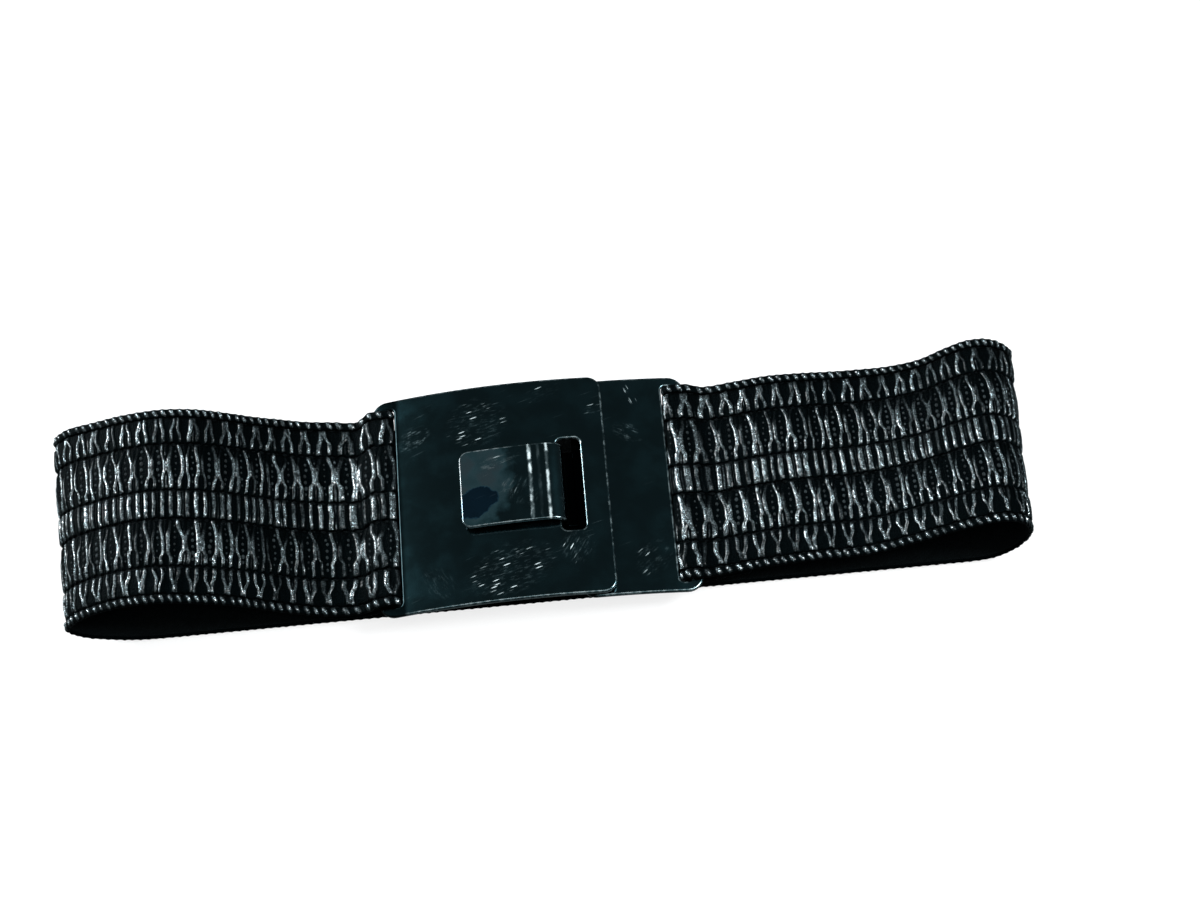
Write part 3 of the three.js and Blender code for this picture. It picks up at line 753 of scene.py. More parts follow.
def end_stitches(route, rows):
    """Thread stitches across the folded-back ends, a line of them at each of four distances along
    the strap. A stitch is a round bar along Y whose radius is that of an ellipse from tip to tip,
    half sunk among the ribs, and it follows the sag of the row that it crosses."""
    half = mm(sizes().width) / 2
    turn = np.linspace(0, 2 * np.pi, 8, endpoint=False)[None, None, :]
    share = np.linspace(-0.97, 0.97, 7)[None, :, None]
    radius = STITCH_RADIUS * np.sqrt(1 - share**2)
    lines = np.array([*STITCH_LINES, *(route.length - place for place in STITCH_LINES)])
    middles = []
    for low, high in (sorted(row) for row in rows):
        count = int((high - low) / STITCH_PITCH)
        q = (np.arange(count)[:, None, None] + 0.5) / count
        q = q + share * STITCH_LENGTH / 2 / (high - low)
        middles.append(np.concatenate([low + (high - low) * q, 0.1 + 0.6 * row_sag(q)], axis=-1))
    middles = np.tile(np.concatenate(middles), (len(lines), 1, 1))
    along = np.repeat(lines, len(middles) // len(lines))[:, None, None] + radius * np.cos(turn)
    y = middles[..., :1] * np.ones_like(along)
    points = route.points(along, (1 + y / half) / 2, middles[..., 1:] - radius * np.sin(turn))
    faces = repeated(tube_faces(*along.shape[1:]), len(along), along[0].size)
    return new_object("end_stitches", points, faces, uv=np.stack([along, y], axis=-1))


# ---------------------------------------------------------------- metal plates


def outline(left, right, half, corners, square, steps):
    """An anticlockwise loop round a rectangle, always with the same number of points on each side
    and corner, so that two loops match. corners are the left and right corner sizes: radii, or
    where square is true the reach of the samples along a sharp corner's two sides."""
    a, b = corners
    quarter = math.pi / 2
    share = np.linspace(0, 1, CORNER_STEPS + 1)[1:-1, None]

    def corner(x, y, size, start, sharp):
        e0 = np.array([math.cos(start), math.sin(start)])
        e1 = np.array([-e0[1], e0[0]])
        if sharp:
            first, second = np.minimum(1, 2 - 2 * share), np.minimum(1, 2 * share)
        else:
            first, second = np.cos(share * quarter), np.sin(share * quarter)
        return np.array([x, y]) + size * (e0 * first + e1 * second)

    def line(x0, y0, x1, y1, count):
        t = np.linspace(0, 1, count + 1)[:, None]
        return np.array([x0, y0]) * (1 - t) + np.array([x1, y1]) * t

    return np.vstack([
        line(left + a, -half, right - b, -half, steps[0]),
        corner(right - b, -half + b, b, -quarter, square[1]),
        line(right, -half + b, right, half - b, steps[1]),
        corner(right - b, half - b, b, 0, square[1]),
        line(right - b, half, left + a, half, steps[0]),
        corner(left + a, half - a, a, quarter, square[0]),
        line(left, half - a, left, -half + a, steps[1]),
        corner(left + a, -half + a, a, 2 * quarter, square[0]),
    ])


def corner_middle(number, steps):
    """Index of the middle point of the near right, far right, far left or near left corner."""
    side = [steps[0] + 1, steps[1] + 1, steps[0] + 1, steps[1] + 1]
    return sum(side[: number + 1]) + number * (CORNER_STEPS - 1) + CORNER_STEPS // 2 - 1


def rim_profile(radius, thickness, support=RIM_SUPPORT):
    """Inset and height of a plate's rounded edge from its top face to its bottom face: a quarter
    circle, the straight wall and a second quarter circle."""
    turn = np.linspace(0, math.pi / 2, RIM_STEPS + 1)
    inset = radius * (1 - np.sin(turn))
    fall = radius * (1 - np.cos(turn))
    upper = np.stack([inset, -fall], axis=1)
    lower = np.stack([inset[::-1], fall[::-1] - thickness], axis=1)
    first = [[radius + support, 0.0]]
    last = [[radius + support, -thickness]]
    return np.vstack([first, upper, lower, last])


def lifted(loop, height):
    """A loop's points with their height over the flat plate."""
    return np.column_stack([loop, np.full(len(loop), height)])


class Sheet:
    """Collects the grids of a plate in flat space: x along the plate, y across, height above."""

    def __init__(self):
        self.points, self.faces, self.rim, self.count = [], [], [], 0

    def add(self, grid, rim, flip, columns=None):
        """grid has a row of points for each loop. columns picks the part of each loop that has
        faces."""
        rows, width = grid.shape[:2]
        quads = grid_faces(rows, width, closed=True, flip=flip).reshape(rows - 1, width, 4)
        if columns is not None:
            quads = quads[:, columns]
        self.points.append(grid.reshape(-1, 3))
        self.faces.append(quads.reshape(-1, 4) + self.count)
        self.rim.append(np.repeat(rim, width))
        self.count += rows * width

    def zone(self, outer, inner, profile, thickness, fill_steps, rim_columns=None):
        """A ring of plate between an inner hole or line and an outer loop. outer and inner are
        functions of the inset that return a loop; a hole's metal lies outside its loop."""
        on_rim = (profile[:, 0] < profile[0, 0] - MERGE_REACH).astype(float)
        edges = [(outer, True, rim_columns)]
        if inner.is_hole:
            edges.append((inner, False, None))
        for loop, flip, columns in edges:
            rows = [lifted(loop(inset), height) for inset, height in profile]
            self.add(np.array(rows), on_rim, flip, columns)
        deep = profile[0, 0]
        share = np.linspace(0, 1, fill_steps + 1)[:, None, None]
        flat = inner(deep) * (1 - share) + outer(deep) * share
        for height, flip in ((0.0, True), (-thickness, False)):
            level = np.full(flat.shape[:2] + (1,), height)
            self.add(np.concatenate([flat, level], axis=-1), np.zeros(fill_steps + 1), flip)


class Loop:
    """A plate's outer outline (inset inwards), a hole (inset outwards, into the metal) or the
    line at the middle of a plate without a hole (not inset)."""

    def __init__(
        self, kind, left, right, half, corners, square=(False, False), steps=OUTLINE_STEPS
    ):
        self.box, self.corners = (left, right, half), corners
        self.square, self.steps = square, steps
        self.is_hole = kind == "hole"
        self.way = {"outer": 1, "hole": -1, "middle": 0}[kind]

    def __call__(self, inset):
        left, right, half = self.box
        step = self.way * inset
        left = left if self.square[0] else left + step
        right = right if self.square[1] else right - step
        corners = [c if sharp else c - step for c, sharp in zip(self.corners, self.square)]
        return outline(left, right, half - step, corners, self.square, self.steps)


def bent_object(name, sheet, bend):
    """Bends the flat sheet: x and height go through the bend, y stays. Doubles are merged."""
    points = np.vstack(sheet.points)
    x, z = bend(points[:, 0], points[:, 2])
    faces = np.vstack(sheet.faces)[:, ::-1]
    solid = np.stack([x, points[:, 1], z], axis=1)
    piece = new_object(name, solid, [faces], {"rim": np.concatenate(sheet.rim)})
    mesh = bmesh.new()
    mesh.from_mesh(piece.data)
    bmesh.ops.remove_doubles(mesh, verts=mesh.verts, dist=MERGE_DISTANCE)
    bmesh.ops.recalc_face_normals(mesh, faces=mesh.faces)
    mesh.to_mesh(piece.data)
    mesh.free()
    return piece


def strap_slot(places, arch):
    """The hole between a plate's end bar and the rest of the plate."""
    near = arch.outer - arch.side * BAR_WIDTH
    far = near - arch.side * places.slot_width
    corner = (SLOT_CORNER, SLOT_CORNER)
    return Loop("hole", min(near, far), max(near, far), places.slot_half, corner)


def front_plate(places):
    """The front plate in two rings, one round the strap slot and one round the hook slot, that
    meet on a straight line across the plate, bent onto its arch."""
    arch = places.front_arch
    split = places.hook_slot_left - SPLIT_DISTANCE
    profile = rim_profile(mm(sizes().edge_radius), places.plate)
    sheet = Sheet()
    total = 2 * (sum(OUTLINE_STEPS) + 2) + 4 * (CORNER_STEPS - 1)
    near_right, far_right, far_left, near_left = (
        corner_middle(k, OUTLINE_STEPS) for k in range(4)
    )
    left_outer = Loop(
        "outer", places.front_outer, split, places.plate_half,
        (OUTER_CORNER, SPLIT_CORNER), (False, True),
    )
    columns = [i % total for i in range(far_right, near_right + total)]
    slot = strap_slot(places, arch)
    sheet.zone(left_outer, slot, profile, places.plate, SLOT_RING_STEPS, columns)
    hook_slot = Loop(
        "hole", places.hook_slot_left, places.hook_slot_right, places.hook_slot_half,
        (HOOK_SLOT_CORNER, HOOK_SLOT_CORNER),
    )
    right_outer = Loop(
        "outer", split, places.front_free, places.plate_half,
        (SPLIT_CORNER, FREE_CORNER), (True, False),
    )
    columns = [i % total for i in range(near_left, far_left + total)]
    sheet.zone(right_outer, hook_slot, profile, places.plate, HOOK_RING_STEPS, columns)
    return bent_object("front_plate_metal", sheet, arch.point)


def hook_plate(places):
    """The hook plate as one ring round its strap slot, bent onto its arch."""
    arch = places.hook_arch
    profile = rim_profile(mm(sizes().edge_radius), places.plate)
    sheet = Sheet()
    outer = Loop(
        "outer", places.hook_inner, places.hook_outer, places.plate_half,
        (FREE_CORNER, OUTER_CORNER),
    )
    sheet.zone(outer, strap_slot(places, arch), profile, places.plate, SLOT_RING_STEPS)
    return bent_object("hook_plate_metal", sheet, arch.point)


class TongueLine:
    """The tongue's middle line: in from the plate's edge, up through the slot by a quarter turn,
    over a rounded bend, which is a quarter of an ellipse, and down to the tip on a parabola."""

    def __init__(self, places):
        root_z = places.hook_arch.point(places.hook_inner, 0)[1] - places.plate / 2
        ridge_z = BUCKLE_HEIGHT + TONGUE_RISE - TONGUE_THICKNESS / 2
        turn = np.linspace(0, math.pi / 2, TONGUE_TURN_SAMPLES)
        flat = TONGUE_REACH - BEND_LENGTH
        share = np.linspace(0, 1, TONGUE_FLAT_SAMPLES)[1:]
        x = np.concatenate([
            [places.hook_inner + places.plate],
            places.riser + ROOT_BEND * (1 - np.sin(turn)),
            places.riser - BEND_LENGTH * (1 - np.cos(turn)),
            places.riser - BEND_LENGTH - flat * share,
        ])
        z = np.concatenate([
            [root_z],
            root_z + ROOT_BEND * (1 - np.cos(turn)),
            ridge_z - BEND_DROP * (1 - np.sin(turn)),
            ridge_z - TIP_DROP * share**2,
        ])
        self.line = np.stack([x, z], axis=1)
        steps = np.linalg.norm(np.diff(self.line, axis=0), axis=1)
        self.distance = np.concatenate([[0], np.cumsum(steps)])
        self.length = self.distance[-1]

    def at(self, along):
        return np.stack([np.interp(along, self.distance, self.line[:, k]) for k in (0, 1)])

    def bend(self, along, above):
        """The line's point at a distance, moved along the smoothed normal by the height."""
        x, z = self.at(along)
        ahead = self.at(np.clip(along + NORMAL_REACH, 0, self.length))
        behind = self.at(np.clip(along - NORMAL_REACH, 0, self.length))
        dx, dz = ahead - behind
        size = np.hypot(dx, dz)
        middle = above + TONGUE_THICKNESS / 2
        return x + middle * dz / size, z - middle * dx / size


def tongue(places):
    """The hook's tongue: a rounded strip with no hole, bent along its middle line."""
    line = TongueLine(places)
    profile = rim_profile(TONGUE_RIM, TONGUE_THICKNESS, TONGUE_RIM_SUPPORT)
    outer = Loop(
        "outer", 0.0, line.length, TONGUE_WIDTH / 2, (TONGUE_ROOT_CORNER, TIP_CORNER),
        steps=TONGUE_STEPS,
    )
    spine = Loop(
        "middle", TONGUE_ROOT_CORNER, line.length - TIP_CORNER, 0.0, (0.0, 0.0),
        steps=TONGUE_STEPS,
    )
    sheet = Sheet()
    sheet.zone(outer, spine, profile, TONGUE_THICKNESS, TONGUE_FILL_STEPS)
    return bent_object("hook_tongue_metal", sheet, line.bend)


# ---------------------------------------------------------------- finishes


class Socket:
    """A shader socket that is used like a number: every operation adds one Math node."""

    def __init__(self, graph, socket):
        self.graph, self.socket = graph, socket

    def math(self, operation, *others):
        return self.graph.math(operation, self, *others)

    def __add__(self, other):
        return self.math("ADD", other)

    def __sub__(self, other):
        return self.math("SUBTRACT", other)

    def __mul__(self, other):
        return self.math("MULTIPLY", other)

    def __truediv__(self, other):
        return self.math("DIVIDE", other)

    def __pow__(self, other):
        return self.math("POWER", other)

    __radd__ = __add__
    __rmul__ = __mul__

    def __rsub__(self, other):
        return self.graph.math("SUBTRACT", other, self)

    def __rtruediv__(self, other):
        return self.graph.math("DIVIDE", other, self)

    def most(self, other):
        return self.math("MAXIMUM", other)

    def least(self, other):
        return self.math("MINIMUM", other)

    def size(self):
        return self.math("ABSOLUTE")


class Graph:
    """A material's nodes. Every node is made by node()."""

    def __init__(self, name):
        self.material = bpy.data.materials.new(name)
        self.material.use_nodes = True
        self.tree = self.material.node_tree
        self.tree.nodes.clear()

    def node(self, kind, settings=None, values=None, output=0):
        """A node of a kind: its settings are set first, then its sockets' values or links."""
        made = self.tree.nodes.new(kind)
        for key, value in (settings or {}).items():
            setattr(made, key, value)
        for key, value in (values or {}).items():
            if isinstance(value, Socket):
                self.tree.links.new(value.socket, made.inputs[key])
            else:
                made.inputs[key].default_value = value
        return Socket(self, made.outputs[output]) if made.outputs else made

    def math(self, operation, *values):
        return self.node("ShaderNodeMath", {"operation": operation}, dict(enumerate(values)))

    def object_mm(self):
        """The place on the piece, in millimetres."""
        place = self.node("ShaderNodeTexCoord", output=3)
        return self.node("ShaderNodeVectorMath", {"operation": "SCALE"}, {0: place, 3: 1 / MM})

    def strap_mm(self):
        """Millimetres along and across the strap, from the piece's own UV map."""
        return self.node("ShaderNodeUVMap", {"uv_map": "strap"})

    def stretch(self, vector, factors):
        return self.node("ShaderNodeVectorMath", {"operation": "MULTIPLY"}, {0: vector, 1: factors})

    def turned(self, vector, centre, degrees):
        """The vector seen from a centre and turned about Z."""
        moved = self.node("ShaderNodeVectorMath", {"operation": "SUBTRACT"}, {0: vector, 1: centre})
        values = {"Vector": moved, "Angle": math.radians(-degrees)}
        return self.node("ShaderNodeVectorRotate", {"rotation_type": "Z_AXIS"}, values)

    def axes(self, vector):
        first = self.node("ShaderNodeSeparateXYZ", None, {0: vector})
        return [Socket(self, output) for output in first.socket.node.outputs]

    def noise(self, vector, scale, detail=2.0, roughness=0.5):
        values = {"Vector": vector, "Scale": scale, "Detail": detail, "Roughness": roughness}
        return self.node("ShaderNodeTexNoise", {"noise_dimensions": "3D"}, values)

    def cells(self, vector, scale):
        """The distance to the nearest cell's middle, and a number that differs from cell to
        cell."""
        settings = {"voronoi_dimensions": "3D", "feature": "F1"}
        values = {"Vector": vector, "Scale": scale}
        distance = self.node("ShaderNodeTexVoronoi", settings, values)
        chance = self.axes(Socket(self, distance.socket.node.outputs["Color"]))[0]
        return distance, chance

    def step(self, value, low, high, to_low=0.0, to_high=1.0):
        """Runs smoothly from to_low to to_high as the value goes from low to high."""
        ends = {"From Min": low, "From Max": high, "To Min": to_low, "To Max": to_high}
        settings = {"interpolation_type": "SMOOTHSTEP"}
        return self.node("ShaderNodeMapRange", settings, {"Value": value, **ends})

    def blend(self, first, second, factor):
        settings = {"data_type": "RGBA", "blend_type": "MIX"}
        values = {0: factor, 6: self.solid(first), 7: self.solid(second)}
        return self.node("ShaderNodeMix", settings, values, output=2)

    @staticmethod
    def solid(colour):
        return colour if isinstance(colour, Socket) else (*tuple(colour)[:3], 1.0)

    def attribute(self, name):
        return self.node("ShaderNodeAttribute", {"attribute_name": name}, output=2)

    def bump(self, height, distance, strength=1.0):
        values = {"Height": height, "Distance": distance * MM, "Strength": strength}
        return self.node("ShaderNodeBump", None, values)

    def finish(self, **values):
        """Ends in a Principled shader; sockets are named by keyword, spaces as underscores."""
        named = {key.replace("_", " "): value for key, value in values.items()}
        for key in ("Base Color", "Emission Color"):
            if key in named:
                named[key] = self.solid(named[key])
        shader = self.node("ShaderNodeBsdfPrincipled", None, named)
        self.node("ShaderNodeOutputMaterial", None, {"Surface": shader})
        return self.material


def ribbed_elastic():
    """Glossy black rib yarn over matte black valleys: the yarn mirrors by its own colour, which
    fades towards the valleys. The yarn's grain, its strands and threads, and patches along the
    strap break the gloss up."""
    colour = colours()
    graph = Graph("ribbed_elastic")
    place = graph.strap_mm()
    grain = graph.noise(graph.stretch(place, (1.5, 1.9, 1.0)), 1.0, 3.0, 0.65)
    strands = graph.noise(graph.stretch(place, (2.6, 0.42, 1.0)), 1.0)
    threads, _ = graph.cells(graph.stretch(place, (1.7, 2.3, 1.0)), 1.0)
    patches = graph.noise(place, 0.3)
    gloss = graph.step(graph.attribute("shine"), 0.16, 0.88)
    gloss = gloss * graph.step(patches, 0.35, 0.6, 0.4, 1.0)
    gloss = gloss * graph.step(threads, 0.7, 0.35, 0.25, 1.0)
    gloss = gloss * graph.step(strands, 0.36, 0.54, 0.3, 1.2)
    return graph.finish(
        Base_Color=graph.blend(colour.valley, colour.rib, gloss),
        Metallic=1.0,
        Roughness=graph.step(gloss, 0.0, 0.5, 0.6, 0.18),
        Normal=graph.bump(grain * 0.6 + strands * 0.9 + threads * -0.4, 0.34),
        Coat_Weight=gloss * graph.step(grain, 0.4, 0.58, 0.08, 1.0),
        Coat_Roughness=0.07,
        Coat_IOR=2.3,
    )


def matte_webbing():
    """Dull black woven ground: crossing ridges of fine threads."""
    colour = colours()
    graph = Graph("woven_ground")
    place = graph.strap_mm()
    x, y, _ = graph.axes(place)
    warp = (y * (2 * math.pi / 0.62)).math("SINE")
    weft = (x * (2 * math.pi / 0.8)).math("SINE")
    weave = warp * weft
    fuzz = graph.noise(place, 2.2, 3.0)
    share = graph.step(weave + fuzz, 0.1, 1.5, 0.02, 0.16)
    base = graph.blend(colour.valley, colour.dull_yarn, share)
    rough = graph.step(fuzz, 0.3, 0.7, 0.6, 0.8)
    relief = graph.bump(weave + fuzz, 0.16)
    return graph.finish(Base_Color=base, Roughness=rough, Specular_IOR_Level=0.04, Normal=relief)


def dull_yarn():
    """Soft grey yarn of the dots and stitches, worn darker in places."""
    colour = colours()
    graph = Graph("dull_yarn")
    place = graph.strap_mm()
    fuzz = graph.noise(place, 3.5, 3.0)
    worn = graph.noise(place, 0.16, 2.0)
    share = graph.step(fuzz, 0.25, 0.7, 0.2, 0.7) * graph.step(worn, 0.35, 0.65, 0.3, 1.0)
    base = graph.blend(colour.valley, colour.dull_yarn, share)
    relief = graph.bump(fuzz, 0.2)
    return graph.finish(Base_Color=base, Roughness=0.6, Specular_IOR_Level=0.14, Normal=relief)


# Scratched places, in millimetres. Columns: x and y of the middle, half length, half width, turn
# in degrees, share of the dashes that show, their brightness, strength of the dull rub.
FRONT_MARKS = (
    (-21.0, 28.5, 13.0, 11.0, 12.0, 0.6, 0.75, 0.5),
    (-12.0, -31.0, 18.0, 11.0, 16.0, 0.66, 0.85, 0.6),
    (12.5, -25.0, 7.0, 7.0, 58.0, 0.7, 0.85, 0.6),
    (22.5, 29.5, 5.0, 2.5, 14.0, 0.7, 0.8, 0.3),
    (-45.0, 25.5, 7.5, 5.0, 25.0, 0.1, 0.5, 0.9),
    (4.0, 38.0, 9.0, 3.5, 20.0, 0.4, 0.6, 0.2),
    (-38.0, -33.0, 8.0, 6.0, -60.0, 0.2, 0.5, 0.3),
)
HOOK_MARKS = (
    (34.0, 21.0, 7.0, 4.0, -28.0, 0.0, 0.0, 0.9),
    (36.4, 35.5, 6.0, 1.6, -68.0, 0.9, 0.8, 0.3),
    (39.0, -29.0, 9.0, 7.0, 40.0, 0.45, 0.7, 0.5),
)
TONGUE_MARKS = (
    (-13.0, 9.5, 9.0, 3.0, 10.0, 0.4, 0.5, 0.5),
    (-6.0, -3.0, 6.0, 8.0, 60.0, 0.3, 0.5, 0.6),
)
# Painted highlight streaks across the tongue's bend, laid in as bare metal: x, half width,
# brightness
TONGUE_PAINTED_STREAKS = ((-2.3, 1.0, 0.95), (1.0, 0.9, 0.14), (4.0, 0.85, 0.8))
TONGUE_FILM = (-25.0, 4.0, 18.0, 24.0)  # x and y of the middle, half length, half width
TONGUE_BLUED = (-23.0, -6.0, 8.5, 6.0)
# Painted shade, in millimetres: where its dull black stretch beside the strap, under the front
# plate or down in the hook slot ends, and where the finish is whole
FRONT_PAINTED_SHADE = (0.5, 2.5, 0.14)  # from the strap slot's inner side, and the share left before it
HOOK_PAINTED_SHADE = (4.0, 7.0, 0.0)  # from the plate's inner edge
TONGUE_PAINTED_SHADE = (20.0, 23.5, 0.0)  # heights


def patch(graph, place, centre_x, centre_y, length, width, turn=0.0, ragged=0.0, soft=0.3):
    """The place seen from the middle of an ellipse, and a mask that fades from one there to zero
    at its rim, which noise makes ragged."""
    local = graph.turned(place, (centre_x, centre_y, 0.0), turn)
    u, v, _ = graph.axes(local)
    reach = (u / length) ** 2.0 + (v / width) ** 2.0
    if ragged:
        reach = reach + (graph.noise(place, 0.22, 3.0) - 0.5) * ragged
    return local, 1 - graph.step(reach, soft, 1.0)


def add_marks(graph, place, marks, worn, dull):
    """Adds each scratched place's dashes and rub to the shares of bare metal and of dullness."""
    for centre_x, centre_y, length, width, turn, share, bright, rubbed in marks:
        local, inside = patch(graph, place, centre_x, centre_y, length, width, turn)
        near, chance = graph.cells(graph.stretch(local, (0.17, 1.2, 0.02)), 1.0)
        dash = graph.step(near, 0.3, 0.14) * graph.step(chance, 1 - share, 1.3 - share)
        fine = graph.noise(graph.stretch(local, (0.3, 1.0, 0.1)), 1.0, 4.0, 0.7)
        rub = graph.step(fine, 0.48, 0.72) * rubbed
        worn = worn.most(inside * dash * bright).most(inside * rub * 0.2)
        dull = dull + inside * rub * 0.12
    return worn, dull


def tongue_wear_and_painted_streaks(graph, place, plating, worn):
    """Lays the blue patch and the dull film over the tongue's plating and adds painted highlight
    streaks across the bend to the share of bare metal. Also gives the share of the film."""
    colour = colours()
    x, _, _ = graph.axes(place)
    _, blued = patch(graph, place, *TONGUE_BLUED, 24.0, 1.6, 0.75)
    _, film = patch(graph, place, *TONGUE_FILM, 0.0, 1.2, 0.2)
    edge = graph.noise(place, 0.16)
    film = film * (1 - blued) * graph.step(edge, 0.3, 0.6, 0.55, 1.0)
    plating = graph.blend(plating, colour.blued, blued * 0.8)
    plating = graph.blend(plating, colour.film, film)
    broken = graph.noise(graph.stretch(place, (0.9, 0.6, 0.1)), 1.0, 3.0, 0.6)
    patchy = graph.noise(graph.stretch(place, (0.25, 0.16, 0.1)), 1.0, 2.0, 0.6)
    # Painted highlight streaks across the bend, laid in as lines of bare metal.
    for streak_middle, half, bright in TONGUE_PAINTED_STREAKS:
        offset = (x - streak_middle + (broken - 0.5) * 0.9) / half
        line = 1 - graph.step(offset.size(), 0.1, 1.0)
        worn = worn.most(line * graph.step(patchy, 0.42, 0.58, 0.22, 1.0) * bright)
    return plating, worn, film


def plated_metal(name, marks, painted_shade, tongue=False):
    """Dark glossy plating under a clear coat: faint clouds and fine hairlines all over, dashes and
    dull rubs where the marks are, and a little bare metal along the rims, which is partly wear and
    partly a painted highlight line on the rounded edges. Bare metal scatters the light, so it isn't
    mirror-like there. The third argument gives painted shade: an axis, two places on it and a
    share.
    Below the first place only that share of the finish is left, over dull black that is painted
    shade beside the strap, under the front plate or down in the hook slot."""
    colour = colours()
    graph = Graph(name)
    place = graph.object_mm()
    clouds = graph.noise(place, 0.09, 3.0, 0.55)
    dust = graph.noise(place, 1.6, 4.0, 0.7)
    hair_place = graph.stretch(graph.turned(place, (0.0, 0.0, 0.0), 17.0), (0.05, 1.3, 0.2))
    hair = graph.step(graph.noise(hair_place, 1.0), 0.68, 0.74) * graph.step(clouds, 0.4, 0.6)
    dull = graph.step(clouds, 0.35, 0.75, 0.0, 0.05)
    worn, dull = add_marks(graph, place, marks, hair * 0.12, dull)
    # Rims: partly wear and partly a painted highlight line along the rounded edges, both laid in as
    # bare metal.
    rim = graph.step(graph.attribute("rim"), 0.5, 1.0)
    worn = worn.most(rim * graph.step(graph.noise(place, 0.5, 3.0), 0.38, 0.66, 0.03, 0.26))
    shaded = [part * 0.75 for part in colour.metal]
    plating = graph.blend(shaded, colour.metal, graph.step(clouds, 0.35, 0.65))
    film = 0.0
    if tongue:
        plating, worn, film = tongue_wear_and_painted_streaks(graph, place, plating, worn)
    # Painted shade: before the first place the finish fades to dull black, which stands for the
    # shade beside the strap, under the front plate and in the hook slot.
    axis, painted_shade_end, unshaded_start, finish_left_in_shade = painted_shade
    outside_painted_shade = graph.step(graph.axes(place)[axis], painted_shade_end, unshaded_start, finish_left_in_shade, 1.0)
    worn = worn.least(1.0) * outside_painted_shade
    finish = graph.blend(plating, colour.bare_metal, worn)
    return graph.finish(
        Base_Color=graph.blend(colour.valley, finish, outside_painted_shade),
        Metallic=1 - worn.most(film * 0.9),
        Roughness=0.15 + dull + worn * 0.25,
        Normal=graph.bump(dust * 0.25 + worn * -0.5, 0.012, 0.5),
        Specular_IOR_Level=0.3,
        Coat_Weight=outside_painted_shade * 0.5,
        Coat_Roughness=0.1,
        Coat_IOR=1.45,
    )


def plain_floor():
    """A pale floor that is lit from behind like a light table, so that shadows on it stay faint."""
    graph = Graph("floor")
    floor = colours().floor
    return graph.finish(
        Base_Color=[c * 0.25 for c in floor], Roughness=0.9, Specular_IOR_Level=0.0,
        Emission_Color=floor, Emission_Strength=0.92,
    )


# ---------------------------------------------------------------- operators


class BELT_OT_webbing(bpy.types.Operator):
    """Builds the woven ground of the strap"""

    bl_idname = "belt.webbing"
    bl_label = "Woven ground"

    def execute(self, context):
        route = Route(Places())
        dress(webbing(route), matte_webbing(), "elastic", "elastic_strap")
        return {"FINISHED"}


class BELT_OT_ribs(bpy.types.Operator):
    """Builds the rows of ribs, the dots between them, the looped edges and the stitches"""

    bl_idname = "belt.ribs"
    bl_label = "Ribs and looped edges"

    def execute(self, context):
        size = sizes()
        route = Route(Places())
        pattern = Pattern(route)
        inner, outer = mm(size.seam_inner), mm(size.seam_outer)
        border = mm(size.width) / 2 - mm(size.edge_band)
        rows = (
            ("far_outer_ribs", "outer", outer, border),
            ("far_wide_ribs", "wide", inner, outer),
            ("middle_ribs", "middle", -inner, inner),
            ("near_wide_ribs", "wide", -outer, -inner),
            ("near_outer_ribs", "outer", -outer, -border),
        )
        finish = ribbed_elastic()
        for number, (name, kind, low, high) in enumerate(rows):
            row = rib_row(name, route, pattern, kind, low, high, size.seed + number)
            dress(row, finish, "elastic", "elastic_strap")
        for name, side in (("near_looped_edge", -1), ("far_looped_edge", 1)):
            cord = edge_cord(name, route, pattern, side, size.seed + 20 + side)
            dress(cord, finish, "elastic", "elastic_strap")
        yarn = dull_yarn()
        dress(lens_dots(route, pattern), yarn, "elastic", "elastic_strap")
        stitches = end_stitches(route, [(low, high) for _, _, low, high in rows])
        dress(stitches, yarn, "elastic", "elastic_strap")
        return {"FINISHED"}


class BELT_OT_front_plate(bpy.types.Operator):
    """Builds the front plate of the buckle"""

    bl_idname = "belt.front_plate"
    bl_label = "Front plate"

    def execute(self, context):
        places = Places()
        slot_side = places.front_outer + BAR_WIDTH + places.slot_width
        # The bar end of the plate, beside the strap, gets painted shade.
        start, end, share = FRONT_PAINTED_SHADE
        painted_shade = (0, slot_side + start, slot_side + end, share)
        finish = plated_metal("front_plating", FRONT_MARKS, painted_shade)
        dress(front_plate(places), finish, "front_metal", "front_plate")
        return {"FINISHED"}


class BELT_OT_hook_plate(bpy.types.Operator):
    """Builds the hook plate of the buckle and its tongue"""

    bl_idname = "belt.hook_plate"
    bl_label = "Hook plate and tongue"

    def execute(self, context):
        places = Places()
        # The plate's inner end under the front plate and the tongue's root in the slot get painted
        # shade.
        start, end, share = HOOK_PAINTED_SHADE
        painted_shade = (0, places.hook_inner + start, places.hook_inner + end, share)
        plate_finish = plated_metal("hook_plating", HOOK_MARKS, painted_shade)
        dress(hook_plate(places), plate_finish, "hook_metal", "hook_plate")
        tongue_finish = plated_metal("tongue_plating", TONGUE_MARKS, (2, *TONGUE_PAINTED_SHADE), tongue=True)
        dress(tongue(places), tongue_finish, "hook_metal", "hook_plate")
        return {"FINISHED"}


# Camera, in millimetres and degrees
CAMERA_AIM = (23.155, 21.856, 0.0)
CAMERA_DISTANCE = 826.133
CAMERA_ELEVATION = 65.0
CAMERA_AZIMUTH = -1.9279
CAMERA_ROLL = 7.2363
CAMERA_LENS = 66.0

# Lights. Columns: name, place in metres, aim in metres, width, height, power, colour.
LIGHTS = (
    ("left_box", (-0.98, 0.52, 0.575), (0, 0, 0), 0.5, 0.52, 31.0, (0.93, 0.98, 1.0)),
    ("right_box", (0.8, -0.02, 0.9), (0, 0, 0), 0.4, 0.4, 20.0, (0.93, 0.98, 1.0)),
    ("top_box", (0.0, -0.3, 1.3), (0, 0, 0), 1.6, 0.6, 9.0, (1.0, 1.0, 1.0)),
)

SKY_COLOUR = (0.78, 0.96, 1.0, 1.0)
SKY_STRENGTH = 0.14
FLOOR_REACH = 4.0  # in metres
FLOOR_HEIGHT = -0.15  # in millimetres, just below the face that the belt rests on


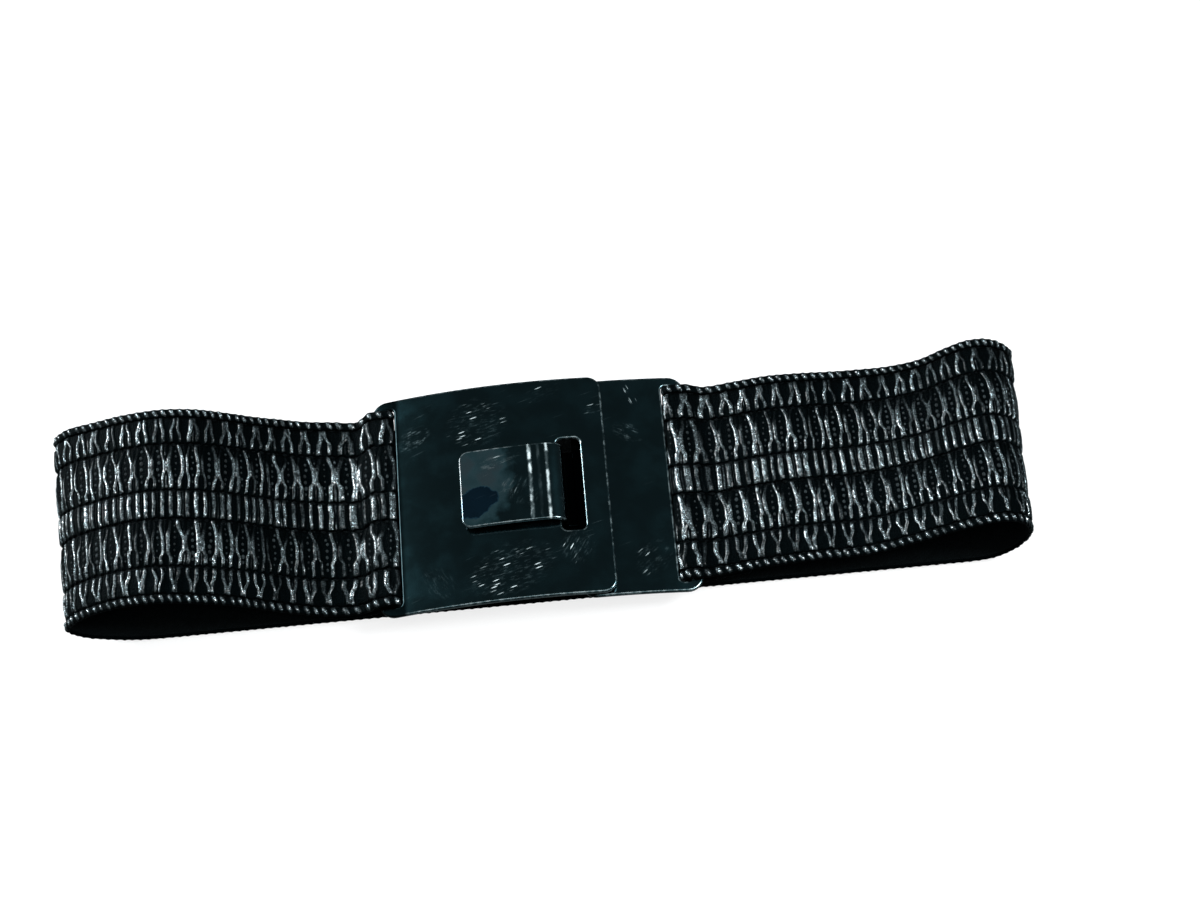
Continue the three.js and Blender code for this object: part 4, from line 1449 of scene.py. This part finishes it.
class BELT_OT_stage(bpy.types.Operator):
    """Builds the floor, the lights, the sky and the camera"""

    bl_idname = "belt.stage"
    bl_label = "Stage"

    def execute(self, context):
        scene = context.scene
        corners = np.array([[-1, -1], [1, -1], [1, 1], [-1, 1]]) * mm(FLOOR_REACH)
        floor = new_object("floor", lifted(corners, FLOOR_HEIGHT), [np.array([[0, 1, 2, 3]])])
        floor.data.materials.append(plain_floor())
        floor.visible_glossy = floor.visible_diffuse = False
        for name, place, aim, width, height, power, colour in LIGHTS:
            light = bpy.data.lights.new(name, "AREA")
            light.shape, light.size, light.size_y = "RECTANGLE", width, height
            light.energy, light.color = power, colour
            lamp = bpy.data.objects.new(name, light)
            lamp.location = place
            away = Vector(place) - Vector(aim)
            lamp.rotation_euler = away.to_track_quat("Z", "Y").to_euler()
            scene.collection.objects.link(lamp)
        world = bpy.data.worlds.new("studio")
        world.use_nodes = True
        sky = world.node_tree.nodes["Background"]
        sky.inputs["Color"].default_value = SKY_COLOUR
        sky.inputs["Strength"].default_value = SKY_STRENGTH
        scene.world = world
        scene.view_settings.view_transform = "Standard"
        self.add_camera(scene)
        return {"FINISHED"}

    @staticmethod
    def add_camera(scene):
        """The camera stands on the line that leaves its aim at the azimuth and elevation, and is
        rolled about that line."""
        angles = (CAMERA_ELEVATION, CAMERA_AZIMUTH, CAMERA_ROLL)
        tilt, turn, roll = (math.radians(angle) for angle in angles)
        flat = math.cos(tilt)
        forward = Vector((math.sin(turn) * flat, math.cos(turn) * flat, -math.sin(tilt)))
        level = Vector((math.cos(turn), -math.sin(turn), 0))
        upright = level.cross(forward)
        right = math.cos(roll) * level - math.sin(roll) * upright
        up = math.sin(roll) * level + math.cos(roll) * upright
        place = (Vector(CAMERA_AIM) - CAMERA_DISTANCE * forward) * MM
        data = bpy.data.cameras.new("camera")
        data.lens, data.sensor_width = CAMERA_LENS, 36.0
        data.clip_start, data.clip_end = 0.01, 50.0
        camera = bpy.data.objects.new("camera", data)
        rotation = Matrix((right, up, -forward)).transposed().to_4x4()
        camera.matrix_world = Matrix.Translation(place) @ rotation
        scene.collection.objects.link(camera)
        scene.camera = camera


class BELT_PT_panel(bpy.types.Panel):
    """Sizes, colours and the steps that build the belt"""

    bl_idname = "BELT_PT_panel"
    bl_label = "Elastic stretch belt"
    bl_space_type = "VIEW_3D"
    bl_region_type = "UI"
    bl_category = "Belt"

    def draw(self, context):
        for group in (context.scene.belt_sizes, context.scene.belt_colours):
            box = self.layout.box()
            for name in group.__annotations__:
                box.prop(group, name)
        for operator in OPERATORS:
            self.layout.operator(operator.bl_idname)


OPERATORS = (
    BELT_OT_stage,
    BELT_OT_webbing,
    BELT_OT_ribs,
    BELT_OT_front_plate,
    BELT_OT_hook_plate,
)
CLASSES = (BeltSizes, BeltColours, *OPERATORS, BELT_PT_panel)


def register():
    for item in CLASSES:
        bpy.utils.register_class(item)
    bpy.types.Scene.belt_sizes = PointerProperty(type=BeltSizes)
    bpy.types.Scene.belt_colours = PointerProperty(type=BeltColours)


def unregister():
    del bpy.types.Scene.belt_sizes
    del bpy.types.Scene.belt_colours
    for item in reversed(CLASSES):
        bpy.utils.unregister_class(item)


def main():
    register()
    bpy.ops.belt.stage()
    bpy.ops.belt.webbing()
    bpy.ops.belt.ribs()
    bpy.ops.belt.front_plate()
    bpy.ops.belt.hook_plate()


if __name__ == "__main__":
    main()
